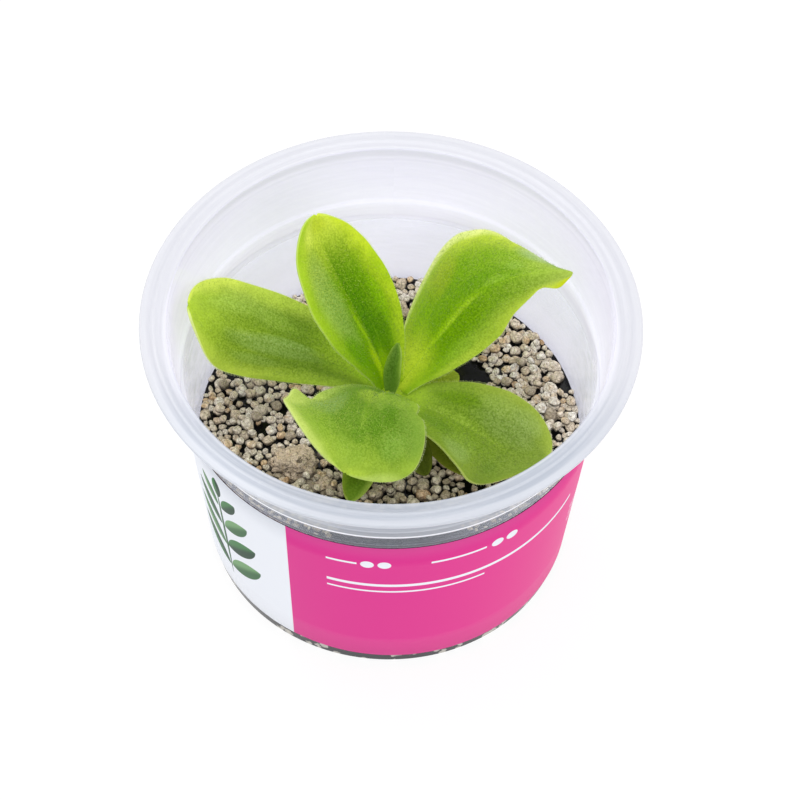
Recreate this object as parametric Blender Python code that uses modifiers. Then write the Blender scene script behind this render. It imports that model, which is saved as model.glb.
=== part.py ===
"""A potted butterwort: a rosette of broad leaves on a bed of pumice grains over black gel,
in a clear flanged culture cup with a paper sleeve round it.

Metres, +Z up. The cup stands on z = 0 with its axis on x = y = 0, and the front is towards -Y.
"""
import math
import random

import bmesh
import bpy
import numpy as np
from mathutils import Matrix, Vector

MM = 0.001
GAP = 0.3 * MM                  # clearance between neighbouring pieces

# Cup
BASE_RADIUS = 37.6 * MM         # outside of the wall at the base
WALL_DRAFT = 0.096              # growth of the radius for each unit of height
WALL = 1.0 * MM
FLOOR = 1.2 * MM
FOOT_ROUND = 1.2 * MM
STEP_HEIGHT = 53.5 * MM         # where the wall steps out to the lid seat
STEP_OUT = 0.9 * MM
SEAT_TOP_RADIUS = 44.6 * MM     # inside of the lid seat under the flange
SEAT_TOP_HEIGHT = 65.2 * MM
FLANGE_RADIUS = 50.0 * MM
FLANGE_HEIGHT = 67.2 * MM       # top of the flange at its inner edge
FLANGE_THICK = 1.0 * MM
FLANGE_FALL = 0.6 * MM          # how far the flange drops to its outer edge
LIP_DROP = 1.4 * MM             # turned-down outer lip
RIDGE_RADIUS = 47.2 * MM
RIDGE_RISE = 0.35 * MM
TURN_STEPS = 64

# Paper sleeve
SLEEVE_BOTTOM = 2.2 * MM
SLEEVE_TOP = 48.7 * MM
SLEEVE_THICK = 0.4 * MM

# Filling
GEL_TOP = 27.6 * MM
BED_TOP = 30.0 * MM             # level between the grains
GRAIN_RADIUS = 2.1 * MM         # larger than the real grains, which are about 1 mm
GRAIN_SPACE = 0.04 * MM         # left between two grains
GRAIN_LIMIT = 2.9 * MM
GRAIN_TRIES = 12000
GRAIN_HEIGHT = 1.6 * MM         # half the height of a grain
BARE_PATCHES = (                # centre x, y and half sizes of the places with no grains
    ((-32.0 * MM, 12.2 * MM), (4.2 * MM, 1.8 * MM)),
    ((20.5 * MM, 12.8 * MM), (6.0 * MM, 2.6 * MM)),
    ((36.3 * MM, 11.9 * MM), (1.8 * MM, 1.8 * MM)),
)

# Crown, the short stem that the leaves grow from
CROWN_CENTRE = (0.2 * MM, 5.2 * MM)
CROWN_RADIUS = 1.6 * MM
CROWN_TOP = 35.8 * MM
CROWN_FOOT = 25.0 * MM
CROWN_BLUNT = 1.2 * MM          # height of the narrowing top
CROWN_BLUNT_SHARE = 0.6         # its width against the stem's

# Leaves
LEAF_THICK = 0.7 * MM
SMALL_LEAF_THICK = 0.6 * MM
LEAF_ROWS = 18                  # along the leaf
LEAF_COLUMNS = 10               # across it
SMALL_LEAF = 27.0               # mm, leaves shorter than this get half the rows and columns
OPENING_POWER = 1.6             # how late the petiole opens out into the blade
NECK_SHARE = 0.35               # width right at the crown against the petiole's
NECK_LENGTH = 0.18              # share of the leaf in which the neck reaches full width
LEAST_SHARE = 0.05              # the tip keeps this share of the greatest width
MARGIN_START = 0.78             # share of the half blade inside the rolled margin
TIP_CROWDING = 1.6              # above 1 the rows lie closer together at the rounded end
MIDRIB_STEPS = 120
SECTION_STEPS = 24

# Each leaf is a midrib that starts beside the crown, with a blade on either side of it.
# Lengths are in mm and angles in degrees. Three values stand for root, middle and tip.
# heading: compass direction from +X; lift: rise above level; twist: left side up is positive.
# valley: rise of each half blade from the midrib; curl: more of it towards the margin.
# roll: extra turn of the outermost margin, then its centre and half reach along the leaf.
LEAVES = {
    "leaf_left": dict(
        root_height=34.5, length=48.8, heading=(156, 188, 173), lift=(37, 32, 49), twist=(7, -24, 10),
        widths=(8.5, 14.5), base=0.39, widest=0.74, power=1.6,
        valleys=((33, -20, 4), (33, -11, -2)), curls=((4, -20, -7), (4, -17, -10))),
    "leaf_back_left": dict(
        root_height=36.1, length=41.9, heading=(117, 145, 97), lift=(67, 56, 49), twist=(6, 5, 31),
        widths=(12.6, 11.9), base=0.36, widest=0.57, power=1.95,
        valleys=((28, 12, 18), (25, 9, 3)), curls=((1, -1, 2), (0, -2, 0))),
    "leaf_back_right": dict(
        root_height=35.5, length=51.4, heading=(47, 9, 18), lift=(29, 55, -43), twist=(-17, 24, 9),
        widths=(20.2, 9.9), base=0.40, widest=0.50, power=1.0,
        valleys=((-12, -23, -43), (-4, -28, -48)), curls=((-6, -25, -40), (-3, -24, -44)),
        rolls=((-110, 0.9, 0.3), (0, 0.5, 0.3))),
    "leaf_front_right": dict(
        root_height=34.6, length=33.6, heading=(-30, -26, -48), lift=(25, -13, 24), twist=(-4, -4, -9),
        widths=(11.4, 16.2), base=0.36, widest=0.69, power=2.05,
        valleys=((13, 25, 1), (14, 24, 4)), curls=((1, -1, -10), (1, 0, -9))),
    "leaf_front": dict(
        root_height=35.9, length=44.1, heading=(-120, -96, -115), lift=(55, 38, -28), twist=(-10, -1, -38),
        widths=(13.4, 16.7), base=0.12, widest=0.77, power=2.35,
        valleys=((24, -4, 1), (32, -7, 19)), curls=((2, -14, -10), (4, -7, 3)),
        rolls=((0, 0.5, 0.3), (75, 0.55, 0.45))),
    "leaf_young": dict(
        root_height=36.3, root_reach=0.0, length=11.6,
        heading=(72, 66, 71), lift=(65, 67, 70), twist=(1, -5, -4),
        widths=(1.9, 3.3), base=0.64, widest=0.45, power=1.5,
        valleys=((30, 32, 30), (29, 36, 32)), curls=((0, 1, 0), (0, 2, 1))),
    "leaf_old_front": dict(
        root_height=33.0, length=26.0, heading=(-112, -104, -108), lift=(8, 4, -6), twist=(0, 0, 0),
        widths=(3.8, 3.8), base=0.3, widest=0.62, power=2.0,
        valleys=((12, 14, 8), (12, 14, 8)), curls=((0, 0, 0), (0, 0, 0))),
    "leaf_old_front_right": dict(
        root_height=33.75, length=19.0, heading=(-66, -70, -72), lift=(6, 0, -5), twist=(0, 0, 0),
        widths=(3.1, 3.1), base=0.3, widest=0.6, power=2.0,
        valleys=((12, 14, 8), (12, 14, 8)), curls=((0, 0, 0), (0, 0, 0))),
    "leaf_old_right": dict(
        root_height=32.85, length=24.0, heading=(-34, -50, -54), lift=(3, 0, 0), twist=(0, 0, 0),
        widths=(4.0, 4.6), base=0.26, widest=0.6, power=2.0,
        valleys=((4, 3, 2), (4, 6, 4)), curls=((0, 0, 0), (0, 0, 0))),
    "leaf_old_back_right": dict(
        root_height=33.2, length=13.5, heading=(22, 25, 26), lift=(6, 2, 0), twist=(0, 0, 0),
        widths=(2.4, 2.6), base=0.4, widest=0.7, power=3.0,
        valleys=((10, 12, 8), (10, 12, 8)), curls=((0, 0, 0), (0, 0, 0))),
}
NO_ROLLS = ((0, 0.5, 0.3), (0, 0.5, 0.3))


def clear_scene():
    for item in list(bpy.data.objects):
        bpy.data.objects.remove(item, do_unlink=True)


def collection(name):
    group = bpy.data.collections.new(name)
    bpy.context.scene.collection.children.link(group)
    return group


def material(name, color, roughness, metallic=0.0, alpha=1.0):
    finish = bpy.data.materials.new(name)
    finish.use_nodes = True
    shader = finish.node_tree.nodes["Principled BSDF"]
    shader.inputs["Base Color"].default_value = (*color, 1.0)
    shader.inputs["Roughness"].default_value = roughness
    shader.inputs["Metallic"].default_value = metallic
    shader.inputs["Alpha"].default_value = alpha
    return finish


def add_object(name, bm, group, finish):
    mesh = bpy.data.meshes.new(name)
    bm.to_mesh(mesh)
    bm.free()
    item = bpy.data.objects.new(name, mesh)
    group.objects.link(item)
    if finish:
        mesh.materials.append(finish)
    return item


def shade_round(item, angle=40.0):
    item.data.shade_smooth()
    item.data.set_sharp_from_angle(angle=math.radians(angle))


def turned(name, profile, group, finish):
    """Turn an (r, z) profile round the Z axis."""
    bm = bmesh.new()
    points = [bm.verts.new((r, 0.0, z)) for r, z in profile]
    for start, end in zip(points, points[1:]):
        bm.edges.new((start, end))
    item = add_object(name, bm, group, finish)
    screw = item.modifiers.new("turn", "SCREW")
    screw.axis = "Z"
    screw.steps = TURN_STEPS
    screw.render_steps = TURN_STEPS
    screw.use_merge_vertices = True
    screw.merge_threshold = 0.01 * MM
    return item


def outer_wall(height):
    return BASE_RADIUS + WALL_DRAFT * height


def inner_wall(height):
    return outer_wall(height) - WALL


def arc(centre, radius, start, end, count):
    """Points of an arc in the (r, z) plane, angles in degrees."""
    angles = [math.radians(start + (end - start) * i / count) for i in range(count + 1)]
    return [(centre[0] + radius * math.cos(a), centre[1] + radius * math.sin(a)) for a in angles]


def make_cup(group, finish):
    """One moulded shell: floor, tapering wall, lid seat, flange and turned-down lip."""
    inside_round = FOOT_ROUND
    floor_corner = (inner_wall(FLOOR + inside_round) - inside_round, FLOOR + inside_round)
    inside = [(0.0, FLOOR)] + arc(floor_corner, inside_round, -90.0, 0.0, 3)
    seat = [
        (inner_wall(STEP_HEIGHT), STEP_HEIGHT),
        (inner_wall(STEP_HEIGHT) + STEP_OUT, STEP_HEIGHT + 0.4 * MM),
        (SEAT_TOP_RADIUS, SEAT_TOP_HEIGHT),
        (SEAT_TOP_RADIUS + 0.3 * MM, FLANGE_HEIGHT - 0.4 * MM),
        (SEAT_TOP_RADIUS + 0.8 * MM, FLANGE_HEIGHT),
    ]
    ridge = [
        (RIDGE_RADIUS - 0.9 * MM, FLANGE_HEIGHT),
        (RIDGE_RADIUS, FLANGE_HEIGHT + RIDGE_RISE),
        (RIDGE_RADIUS + 0.9 * MM, FLANGE_HEIGHT - 0.1 * MM),
    ]
    edge = FLANGE_HEIGHT - FLANGE_FALL
    lip = [
        (FLANGE_RADIUS - 0.5 * MM, edge + 0.2 * MM),
        (FLANGE_RADIUS, edge - 0.3 * MM),
        (FLANGE_RADIUS, edge - LIP_DROP),
        (FLANGE_RADIUS - 0.9 * MM, edge - LIP_DROP),
        (FLANGE_RADIUS - WALL, edge - FLANGE_THICK),
    ]
    outside = [
        (SEAT_TOP_RADIUS + 1.8 * MM, FLANGE_HEIGHT - FLANGE_THICK - 0.1 * MM),
        (SEAT_TOP_RADIUS + 1.1 * MM, SEAT_TOP_HEIGHT),
        (outer_wall(STEP_HEIGHT) + STEP_OUT, STEP_HEIGHT + 0.2 * MM),
        (outer_wall(STEP_HEIGHT) + 0.5 * STEP_OUT, STEP_HEIGHT - 0.8 * MM),
        (outer_wall(STEP_HEIGHT - 1.4 * MM), STEP_HEIGHT - 1.4 * MM),
    ]
    foot_centre = (outer_wall(FOOT_ROUND) - FOOT_ROUND, FOOT_ROUND)
    foot = arc(foot_centre, FOOT_ROUND, 0.0, -90.0, 3) + [(0.0, 0.0)]
    cup = turned("cup", inside + seat + ridge + lip + outside + foot, group, finish)
    shade_round(cup)
    return cup


def make_sleeve(group, finish):
    """Paper wrapped once round the tapering wall."""
    stand_off = GAP
    profile = [(outer_wall(z) + stand_off, z) for z in (SLEEVE_TOP, SLEEVE_BOTTOM)]
    sleeve = turned("label_sleeve", profile, group, finish)
    shell = sleeve.modifiers.new("paper", "SOLIDIFY")
    shell.thickness = SLEEVE_THICK
    shell.offset = 1.0
    shade_round(sleeve)
    return sleeve


def make_gel(group, finish):
    """The black growing gel that fills the lower cup."""
    corner = FOOT_ROUND + GAP
    low = FLOOR + GAP
    profile = [
        (0.0, GEL_TOP),
        (inner_wall(GEL_TOP) - GAP, GEL_TOP),
        (inner_wall(low + corner) - GAP, low + corner),
        (inner_wall(low) - GAP - corner, low),
        (0.0, low),
    ]
    return turned("gel", profile, group, finish)


def in_bare_patch(x, y, margin):
    for (cx, cy), (half_x, half_y) in BARE_PATCHES:
        if ((x - cx) / (half_x + margin)) ** 2 + ((y - cy) / (half_y + margin)) ** 2 < 1.0:
            return True
    return False


def grain_places(rng):
    """Centres and radii of grains that lie apart, inside the wall, off the bare patches and the crown."""
    placed = []
    for _ in range(GRAIN_TRIES):
        radius = GRAIN_RADIUS * rng.uniform(0.7, 1.15)
        reach = inner_wall(BED_TOP) - 2.0 * GAP - radius
        distance = reach * math.sqrt(rng.random())
        angle = rng.uniform(0.0, math.tau)
        x = distance * math.cos(angle)
        y = distance * math.sin(angle)
        near_crown = math.hypot(x - CROWN_CENTRE[0], y - CROWN_CENTRE[1]) < CROWN_RADIUS + radius + GAP
        if near_crown or in_bare_patch(x, y, 0.4 * radius):
            continue
        if all(math.hypot(x - px, y - py) > radius + other + GRAIN_SPACE for px, py, other in placed):
            placed.append((x, y, radius))
    return grown(placed)


def grown(placed):
    """Let each grain in turn grow until it nearly meets its nearest neighbour or the wall."""
    for index, (x, y, radius) in enumerate(placed):
        room = [math.hypot(x - px, y - py) - other for px, py, other in placed if (px, py) != (x, y)]
        room.append(inner_wall(BED_TOP) - GAP - math.hypot(x, y))
        room.append(math.hypot(x - CROWN_CENTRE[0], y - CROWN_CENTRE[1]) - CROWN_RADIUS)
        placed[index] = (x, y, max(radius, min(min(room) - GRAIN_SPACE, GRAIN_LIMIT)))
    return placed


def make_grains(group, finish):
    """The bed of grains: a disc that the top layer of grains is sunk into, joined in one solid."""
    rng = random.Random(7)
    low = GEL_TOP + GAP
    bm = bmesh.new()
    bmesh.ops.create_cone(bm, cap_ends=True, segments=TURN_STEPS, radius1=inner_wall(low) - GAP,
                          radius2=inner_wall(BED_TOP) - GAP, depth=BED_TOP - low,
                          matrix=Matrix.Translation((0.0, 0.0, (BED_TOP + low) / 2.0)))
    bed = add_object("grain_bed", bm, group, finish)
    loose = collection("loose grains")
    for index, (x, y, radius) in enumerate(grain_places(rng)):
        bm = bmesh.new()
        turn = Matrix.Rotation(rng.uniform(0.0, math.tau), 4, (rng.random(), rng.random(), 1.0))
        bmesh.ops.create_icosphere(bm, subdivisions=1, radius=radius, matrix=turn)
        squash = Matrix.Diagonal((1.0, rng.uniform(0.92, 1.0), GRAIN_HEIGHT / radius, 1.0))
        height = BED_TOP + rng.uniform(0.0, 0.25) * GRAIN_HEIGHT
        place = Matrix.Translation((x, y, height)) @ Matrix.Rotation(rng.uniform(0.0, math.pi), 4, "Z")
        bmesh.ops.transform(bm, matrix=place @ squash, verts=bm.verts)
        add_object(f"grain {index}", bm, loose, None)
    join = bed.modifiers.new("grains", "BOOLEAN")
    join.operation = "UNION"
    join.operand_type = "COLLECTION"
    join.collection = loose
    join.solver = "MANIFOLD"
    apply_modifiers(bed)
    for item in list(loose.objects):
        bpy.data.objects.remove(item, do_unlink=True)
    bpy.data.collections.remove(loose)
    return bed


def apply_modifiers(item):
    shape = item.evaluated_get(bpy.context.evaluated_depsgraph_get())
    mesh = bpy.data.meshes.new_from_object(shape)
    item.modifiers.clear()
    item.data = mesh


def cut_crown_hole(items, cutters):
    """A plain hole for the crown through the bed and down into the gel."""
    bm = bmesh.new()
    depth = CROWN_TOP - CROWN_FOOT
    radius = CROWN_RADIUS + GAP
    place = Matrix.Translation((*CROWN_CENTRE, CROWN_FOOT - GAP + depth / 2.0))
    bmesh.ops.create_cone(bm, cap_ends=True, segments=24, radius1=radius, radius2=radius, depth=depth,
                          matrix=place)
    hole = add_object("crown hole", bm, cutters, None)
    hole.display_type = "WIRE"
    hole.hide_render = True
    for item in items:
        cut = item.modifiers.new("crown hole", "BOOLEAN")
        cut.operation = "DIFFERENCE"
        cut.object = hole


def make_crown(group, finish):
    """The short stem: a plug that narrows a little to a blunt top."""
    bm = bmesh.new()
    straight = CROWN_TOP - CROWN_BLUNT - CROWN_FOOT
    place = Matrix.Translation((*CROWN_CENTRE, CROWN_FOOT + straight / 2.0))
    bmesh.ops.create_cone(bm, cap_ends=True, segments=20, radius1=CROWN_RADIUS,
                          radius2=CROWN_RADIUS, depth=straight, matrix=place)
    top = max(bm.faces, key=lambda face: face.calc_center_median().z)
    pulled = bmesh.ops.extrude_discrete_faces(bm, faces=[top])["faces"][0]
    rim = list(pulled.verts)
    centre = pulled.calc_center_median()
    narrowing = (CROWN_BLUNT_SHARE, CROWN_BLUNT_SHARE, 1.0)
    bmesh.ops.translate(bm, verts=rim, vec=(0.0, 0.0, CROWN_BLUNT))
    bmesh.ops.scale(bm, verts=rim, vec=narrowing, space=Matrix.Translation(-centre))
    crown = add_object("crown", bm, group, finish)
    shade_round(crown)
    return crown


def along(values, t):
    """The smooth curve through a value at the root, the middle and the tip."""
    root, middle, tip = values
    return root * (1 - t) * (1 - 2 * t) + 4 * middle * t * (1 - t) + tip * t * (2 * t - 1)


def half_width(leaf, t):
    """Share of the greatest half width: a petiole that opens out, then a rounded end."""
    widest = leaf["widest"]
    opening = np.sin(np.clip(t / widest, 0.0, 1.0) * math.pi / 2.0) ** OPENING_POWER
    blade = leaf["base"] + (1.0 - leaf["base"]) * opening
    past = np.clip((t - widest) / (1.0 - widest), 0.0, 1.0)
    rounding = np.sqrt(np.clip(1.0 - past ** leaf["power"], 0.0, 1.0))
    neck = NECK_SHARE + (1.0 - NECK_SHARE) * np.clip(t / NECK_LENGTH, 0.0, 1.0)
    return np.maximum(blade * rounding * neck, LEAST_SHARE)


def rolled(values, t):
    amount, centre, reach = values
    u = np.clip(np.abs(t - centre) / reach, 0.0, 1.0)
    return amount * (0.5 + 0.5 * np.cos(math.pi * u))


def leaf_frame(leaf, t):
    """Points of the midrib in mm, with the sideways and upward directions there."""
    fine = (np.arange(MIDRIB_STEPS) + 0.5) / MIDRIB_STEPS
    root_heading = math.radians(leaf["heading"][0])
    stand_off = leaf.get("root_reach", (CROWN_RADIUS + 1.2 * GAP) / MM)

    def direction(at):
        heading = np.radians(along(leaf["heading"], at))
        lift = np.radians(along(leaf["lift"], at))
        return heading, np.stack(
            [np.cos(lift) * np.cos(heading), np.cos(lift) * np.sin(heading), np.sin(lift)], axis=-1)

    root = np.array([
        CROWN_CENTRE[0] / MM + stand_off * math.cos(root_heading),
        CROWN_CENTRE[1] / MM + stand_off * math.sin(root_heading),
        leaf["root_height"],
    ])
    travelled = np.cumsum(direction(fine)[1], axis=0) / MIDRIB_STEPS
    path = root + leaf["length"] * np.vstack([np.zeros(3), travelled])
    stations = np.linspace(0.0, 1.0, MIDRIB_STEPS + 1)
    points = np.stack([np.interp(t, stations, path[:, axis]) for axis in range(3)], axis=-1)
    heading, forward = direction(t)
    level = np.stack([-np.sin(heading), np.cos(heading), np.zeros_like(heading)], axis=-1)
    upright = np.cross(forward, level)
    twist = np.radians(along(leaf["twist"], t))[..., None]
    sideways = level * np.cos(twist) + upright * np.sin(twist)
    upward = upright * np.cos(twist) - level * np.sin(twist)
    return points, sideways, upward


def leaf_point(leaf, t, across):
    """A point of the blade in mm; across runs from -1 at the right margin to 1 at the left one."""
    points, sideways, upward = leaf_frame(leaf, np.array([t]))
    side = 0 if across > 0 else 1
    width = leaf["widths"][side] * half_width(leaf, t)
    valley = math.radians(along(leaf["valleys"][side], t))
    curl = math.radians(along(leaf["curls"][side], t))
    roll = math.radians(rolled(leaf.get("rolls", NO_ROLLS)[side], t))
    run = (np.arange(SECTION_STEPS) + 0.5) / SECTION_STEPS * abs(across)
    margin = np.clip((run - MARGIN_START) / (1.0 - MARGIN_START), 0.0, 1.0)
    slope = valley + curl * run ** 2 + roll * margin
    out = np.cos(slope).mean() * abs(across) * width
    up = np.sin(slope).mean() * abs(across) * width
    return points[0] + math.copysign(out, across) * sideways[0] + up * upward[0]


def make_leaf(name, leaf, group, finish):
    """A flat grid bent into the blade, split into triangles and given its thickness."""
    small = leaf["length"] < SMALL_LEAF
    rows = LEAF_ROWS // 2 if small else LEAF_ROWS
    columns = LEAF_COLUMNS // 2 + 1 if small else LEAF_COLUMNS
    bm = bmesh.new()
    bmesh.ops.create_grid(bm, x_segments=rows, y_segments=columns, size=1.0)
    for vert in bm.verts:
        along_leaf = 1.0 - (0.5 - 0.5 * vert.co.x) ** TIP_CROWDING
        vert.co = Vector(leaf_point(leaf, along_leaf, vert.co.y)) * MM
    bmesh.ops.triangulate(bm, faces=bm.faces)
    item = add_object(name, bm, group, finish)
    blade = item.modifiers.new("blade", "SOLIDIFY")
    blade.thickness = SMALL_LEAF_THICK if small else LEAF_THICK
    blade.offset = 0.0
    shade_round(item, 60.0)
    return item


def main():
    clear_scene()
    pot = collection("potted butterwort")
    cutters = collection("cutters")
    make_cup(pot, material("clear plastic", (0.86, 0.88, 0.93), 0.25, alpha=0.35))
    make_sleeve(pot, material("printed paper", (0.77, 0.06, 0.29), 0.45))
    gel = make_gel(pot, material("black gel", (0.012, 0.010, 0.014), 0.15))
    bed = make_grains(pot, material("pumice", (0.56, 0.46, 0.34), 0.9))
    cut_crown_hole((gel, bed), cutters)
    make_crown(pot, material("crown", (0.42, 0.52, 0.12), 0.5))
    green = material("leaf green", (0.27, 0.48, 0.05), 0.45)
    shaded = material("old leaf green", (0.13, 0.22, 0.02), 0.5)
    for name, leaf in LEAVES.items():
        make_leaf(name, leaf, pot, shaded if "old" in name else green)


main()
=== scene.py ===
# %% [markdown]
# # A butterwort in a culture cup
# A laboratory raises this small carnivorous plant in a clear cup: black gel at the bottom, a layer of
# pumice grains, and a rosette of soft leaves whose upper side is set with tiny sticky glands.
# The CAD model holds the sizes. This script gives each piece the surface that the real one shows.

# %% Load the frame
import math
import random

import bmesh
import bpy
import numpy as np
from mathutils import Matrix, Vector, noise


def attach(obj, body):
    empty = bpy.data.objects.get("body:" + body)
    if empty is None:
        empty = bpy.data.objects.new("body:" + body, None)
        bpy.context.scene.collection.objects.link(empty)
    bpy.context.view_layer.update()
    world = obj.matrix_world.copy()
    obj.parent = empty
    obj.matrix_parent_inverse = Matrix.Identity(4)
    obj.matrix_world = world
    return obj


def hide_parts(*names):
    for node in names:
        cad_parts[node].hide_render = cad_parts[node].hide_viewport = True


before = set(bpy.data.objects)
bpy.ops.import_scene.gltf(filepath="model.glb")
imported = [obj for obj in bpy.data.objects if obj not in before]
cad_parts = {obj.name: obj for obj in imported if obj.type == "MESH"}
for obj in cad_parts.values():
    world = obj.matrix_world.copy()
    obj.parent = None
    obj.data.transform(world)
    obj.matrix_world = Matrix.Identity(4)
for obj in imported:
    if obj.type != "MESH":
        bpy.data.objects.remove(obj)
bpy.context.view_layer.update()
MM = 0.001
print("CAD nodes:", ", ".join(sorted(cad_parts)))

# %% [markdown]
# ## Camera
# The picture was taken from in front and well above, with a long lens. The lens and the place of the
# camera were worked out once from the rings of the cup, whose real size is known.
# Blender keeps a camera's direction as three axes, so they are built here from three small turns.

# %% Camera
CAMERA_PLACE = (0.0, -0.36880, 0.53402)
CAMERA_PITCH = 0.92940          # radians below the horizon
CAMERA_YAW = -0.00569
CAMERA_ROLL = 0.02243


def camera_axes(pitch, yaw, roll):
    """Rotation whose columns are the camera's right, up and backward directions."""
    level = Matrix(((1, 0, 0), (0, 0, -1), (0, 1, 0)))
    tilted = Matrix.Rotation(pitch, 3, "X") @ Matrix.Rotation(yaw, 3, "Y")
    right, down, forward = (Matrix.Rotation(roll, 3, "Z") @ tilted @ level).row
    return Matrix((right, -down, -forward)).transposed()


def new_object(name, data):
    item = bpy.data.objects.new(name, data)
    bpy.context.scene.collection.objects.link(item)
    return item


lens = bpy.data.cameras.new("camera")
lens.lens = 135.0
lens.sensor_width = 36.0
lens.clip_end = 10.0
camera = new_object("camera", lens)
camera.matrix_world = Matrix.Translation(CAMERA_PLACE) @ camera_axes(
    CAMERA_PITCH, CAMERA_YAW, CAMERA_ROLL).to_4x4()
bpy.context.scene.camera = camera
print("camera looks along", [round(v, 3) for v in -camera.matrix_world.to_3x3().col[2]])

# %% [markdown]
# ## A short way to write shader maths
# A material is a chain of nodes. `Wire` stands for one output of a node, and arithmetic on wires adds
# Math nodes, so `1 - mask` reads like a formula. `rise` makes a smooth mask of a value, and `blend` uses a
# mask to choose between two colours. Colours of three numbers are those of a screen, from 0 to 255.


# %% Wires and recipes
class Wire:
    """One output of a node. Arithmetic on it adds Math nodes."""

    def __init__(self, recipe, socket):
        self.recipe = recipe
        self.socket = socket

    def math(self, operation, *others):
        return self.recipe.math(operation, self, *others)

    __add__ = __radd__ = lambda self, other: self.math("ADD", other)
    __mul__ = __rmul__ = lambda self, other: self.math("MULTIPLY", other)
    __sub__ = lambda self, other: self.math("SUBTRACT", other)
    __rsub__ = lambda self, other: self.recipe.math("SUBTRACT", other, self)
    __truediv__ = lambda self, other: self.math("DIVIDE", other)
    __pow__ = lambda self, other: self.math("POWER", other)
    __neg__ = lambda self: self * -1.0
    __abs__ = lambda self: self.math("ABSOLUTE")

    def rise(self, low, high, start=0.0, end=1.0):
        """A smooth step from start to end while this value goes from low to high."""
        return self.recipe.node("MapRange", {"interpolation_type": "SMOOTHSTEP"}, {
            "Value": self, "From Min": low, "From Max": high, "To Min": start, "To Max": end})

    def blend(self, first, second, mode="MIX"):
        """The first colour where this share is 0, the second one where it is 1."""
        return self.recipe.node("Mix", {"data_type": "RGBA", "blend_type": mode},
                                {0: self, 6: first, 7: second}, output=2)


def layered(color, *layers):
    """Lay colours over the first one in turn; each comes with the share of it that covers."""
    for share, over in layers:
        color = share.blend(color, over)
    return color


def tint(*screen):
    """A colour in the 0 to 255 numbers of a screen, as the linear light that shaders work in."""
    shares = [value / 255.0 for value in screen]
    return [s / 12.92 if s <= 0.04045 else ((s + 0.055) / 1.055) ** 2.4 for s in shares] + [1.0]


class Recipe:
    """A material in the making, with its Principled shader."""

    def __init__(self, name, **constants):
        self.material = bpy.data.materials.new(name)
        self.material.use_nodes = True
        self.tree = self.material.node_tree
        self.shader = self.tree.nodes["Principled BSDF"]
        self.finish(**constants)

    def plug(self, socket, value):
        if isinstance(value, Wire):
            self.tree.links.new(value.socket, socket)
        else:
            screen_color = isinstance(value, tuple) and len(value) == 3
            socket.default_value = tint(*value) if screen_color else value

    def node(self, kind, settings=None, values=None, output=0):
        """Add a node. Settings come first, because they decide which sockets there are."""
        made = self.tree.nodes.new("ShaderNode" + kind)
        for key, value in (settings or {}).items():
            setattr(made, key, value)
        for key, value in (values or {}).items():
            self.plug(made.inputs[key], value)
        return Wire(self, made.outputs[output])

    def math(self, operation, *operands):
        return self.node("Math", {"operation": operation}, dict(enumerate(operands)))

    def place(self):
        """Object coordinates in metres, which are the same as the world's at rest."""
        return self.node("TexCoord", output="Object")

    def parts(self, vector):
        split = self.node("SeparateXYZ", values={0: vector})
        return [Wire(self, split.socket.node.outputs[axis]) for axis in range(3)]

    def millimetres(self):
        return [axis / MM for axis in self.parts(self.place())]

    def sheet(self, uv_map):
        """How far along and across a flat sheet each place lies, as two shares."""
        return self.parts(self.node("UVMap", {"uv_map": uv_map}, output="UV"))[:2]

    def vector(self, x, y, z):
        return self.node("CombineXYZ", values={0: x, 1: y, 2: z})

    def noise(self, scale, detail=2.0, where=None, roughness=0.5):
        return self.node("TexNoise", values={
            "Vector": where or self.place(), "Scale": scale, "Detail": detail, "Roughness": roughness})

    def cells(self, scale, feature="F1"):
        """Distance to the nearest of many scattered points, or to the edge between two of them."""
        return self.node("TexVoronoi", {"feature": feature}, {"Vector": self.place(), "Scale": scale})

    def bump(self, height, depth):
        """Raise or sink the surface by the height times the depth, in mm."""
        return self.node("Bump", values={"Height": height, "Distance": depth * MM, "Strength": 1.0})

    def finish(self, **sockets):
        """Set the shader's sockets, or wire them up, and give out the material."""
        for key, value in sockets.items():
            self.plug(self.shader.inputs[key.replace("_", " ").title().replace("Ior", "IOR")], value)
        return self.material


def mesh_from(bm, name):
    """Write a bmesh into a mesh, and free it."""
    mesh = bpy.data.meshes.new(name)
    bm.to_mesh(mesh)
    bm.free()
    return mesh


def add_piece(name, bm, materials, replaced=()):
    """Turn a bmesh into a piece that rides on the pot, shaded smooth."""
    mesh = mesh_from(bm, name)
    mesh.shade_smooth()
    item = new_object(name, mesh)
    for finish in materials:
        mesh.materials.append(finish)
    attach(item, "root")
    if replaced:
        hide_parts(*replaced)
    print(f"{name}: {len(mesh.polygons)} faces before modifiers")
    return item


print("shader helpers ready")

# %% [markdown]
# ## Room
# The cup stands in a light tent: white all round, one large soft lamp above and behind, and a weaker one
# in front. The floor gives off a little light itself, as a lit table does, so the shadow stays faint.

# %% Floor, lamps and surroundings
FLOOR_HALF = 1.5
FLOOR_GLOW = 0.91
AIM = Vector((0.0, 0.0, 0.04))  # the middle of the cup, in metres as all of this cell


def lamp(name, place, size, watts):
    data = bpy.data.lights.new(name, "AREA")
    data.shape = "DISK"
    data.size = size
    data.energy = watts
    item = new_object(name, data)
    item.location = place
    item.rotation_euler = (AIM - Vector(place)).to_track_quat("-Z", "Y").to_euler()


def white_floor():
    bm = bmesh.new()
    bmesh.ops.create_grid(bm, x_segments=1, y_segments=1, size=FLOOR_HALF)
    floor = new_object("floor", mesh_from(bm, "floor"))
    table = Recipe("white table", base_color=(0.12, 0.12, 0.12, 1.0), roughness=0.8,
                   emission_color=(1.0, 1.0, 1.0, 1.0), emission_strength=FLOOR_GLOW)
    floor.data.materials.append(table.material)


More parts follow.
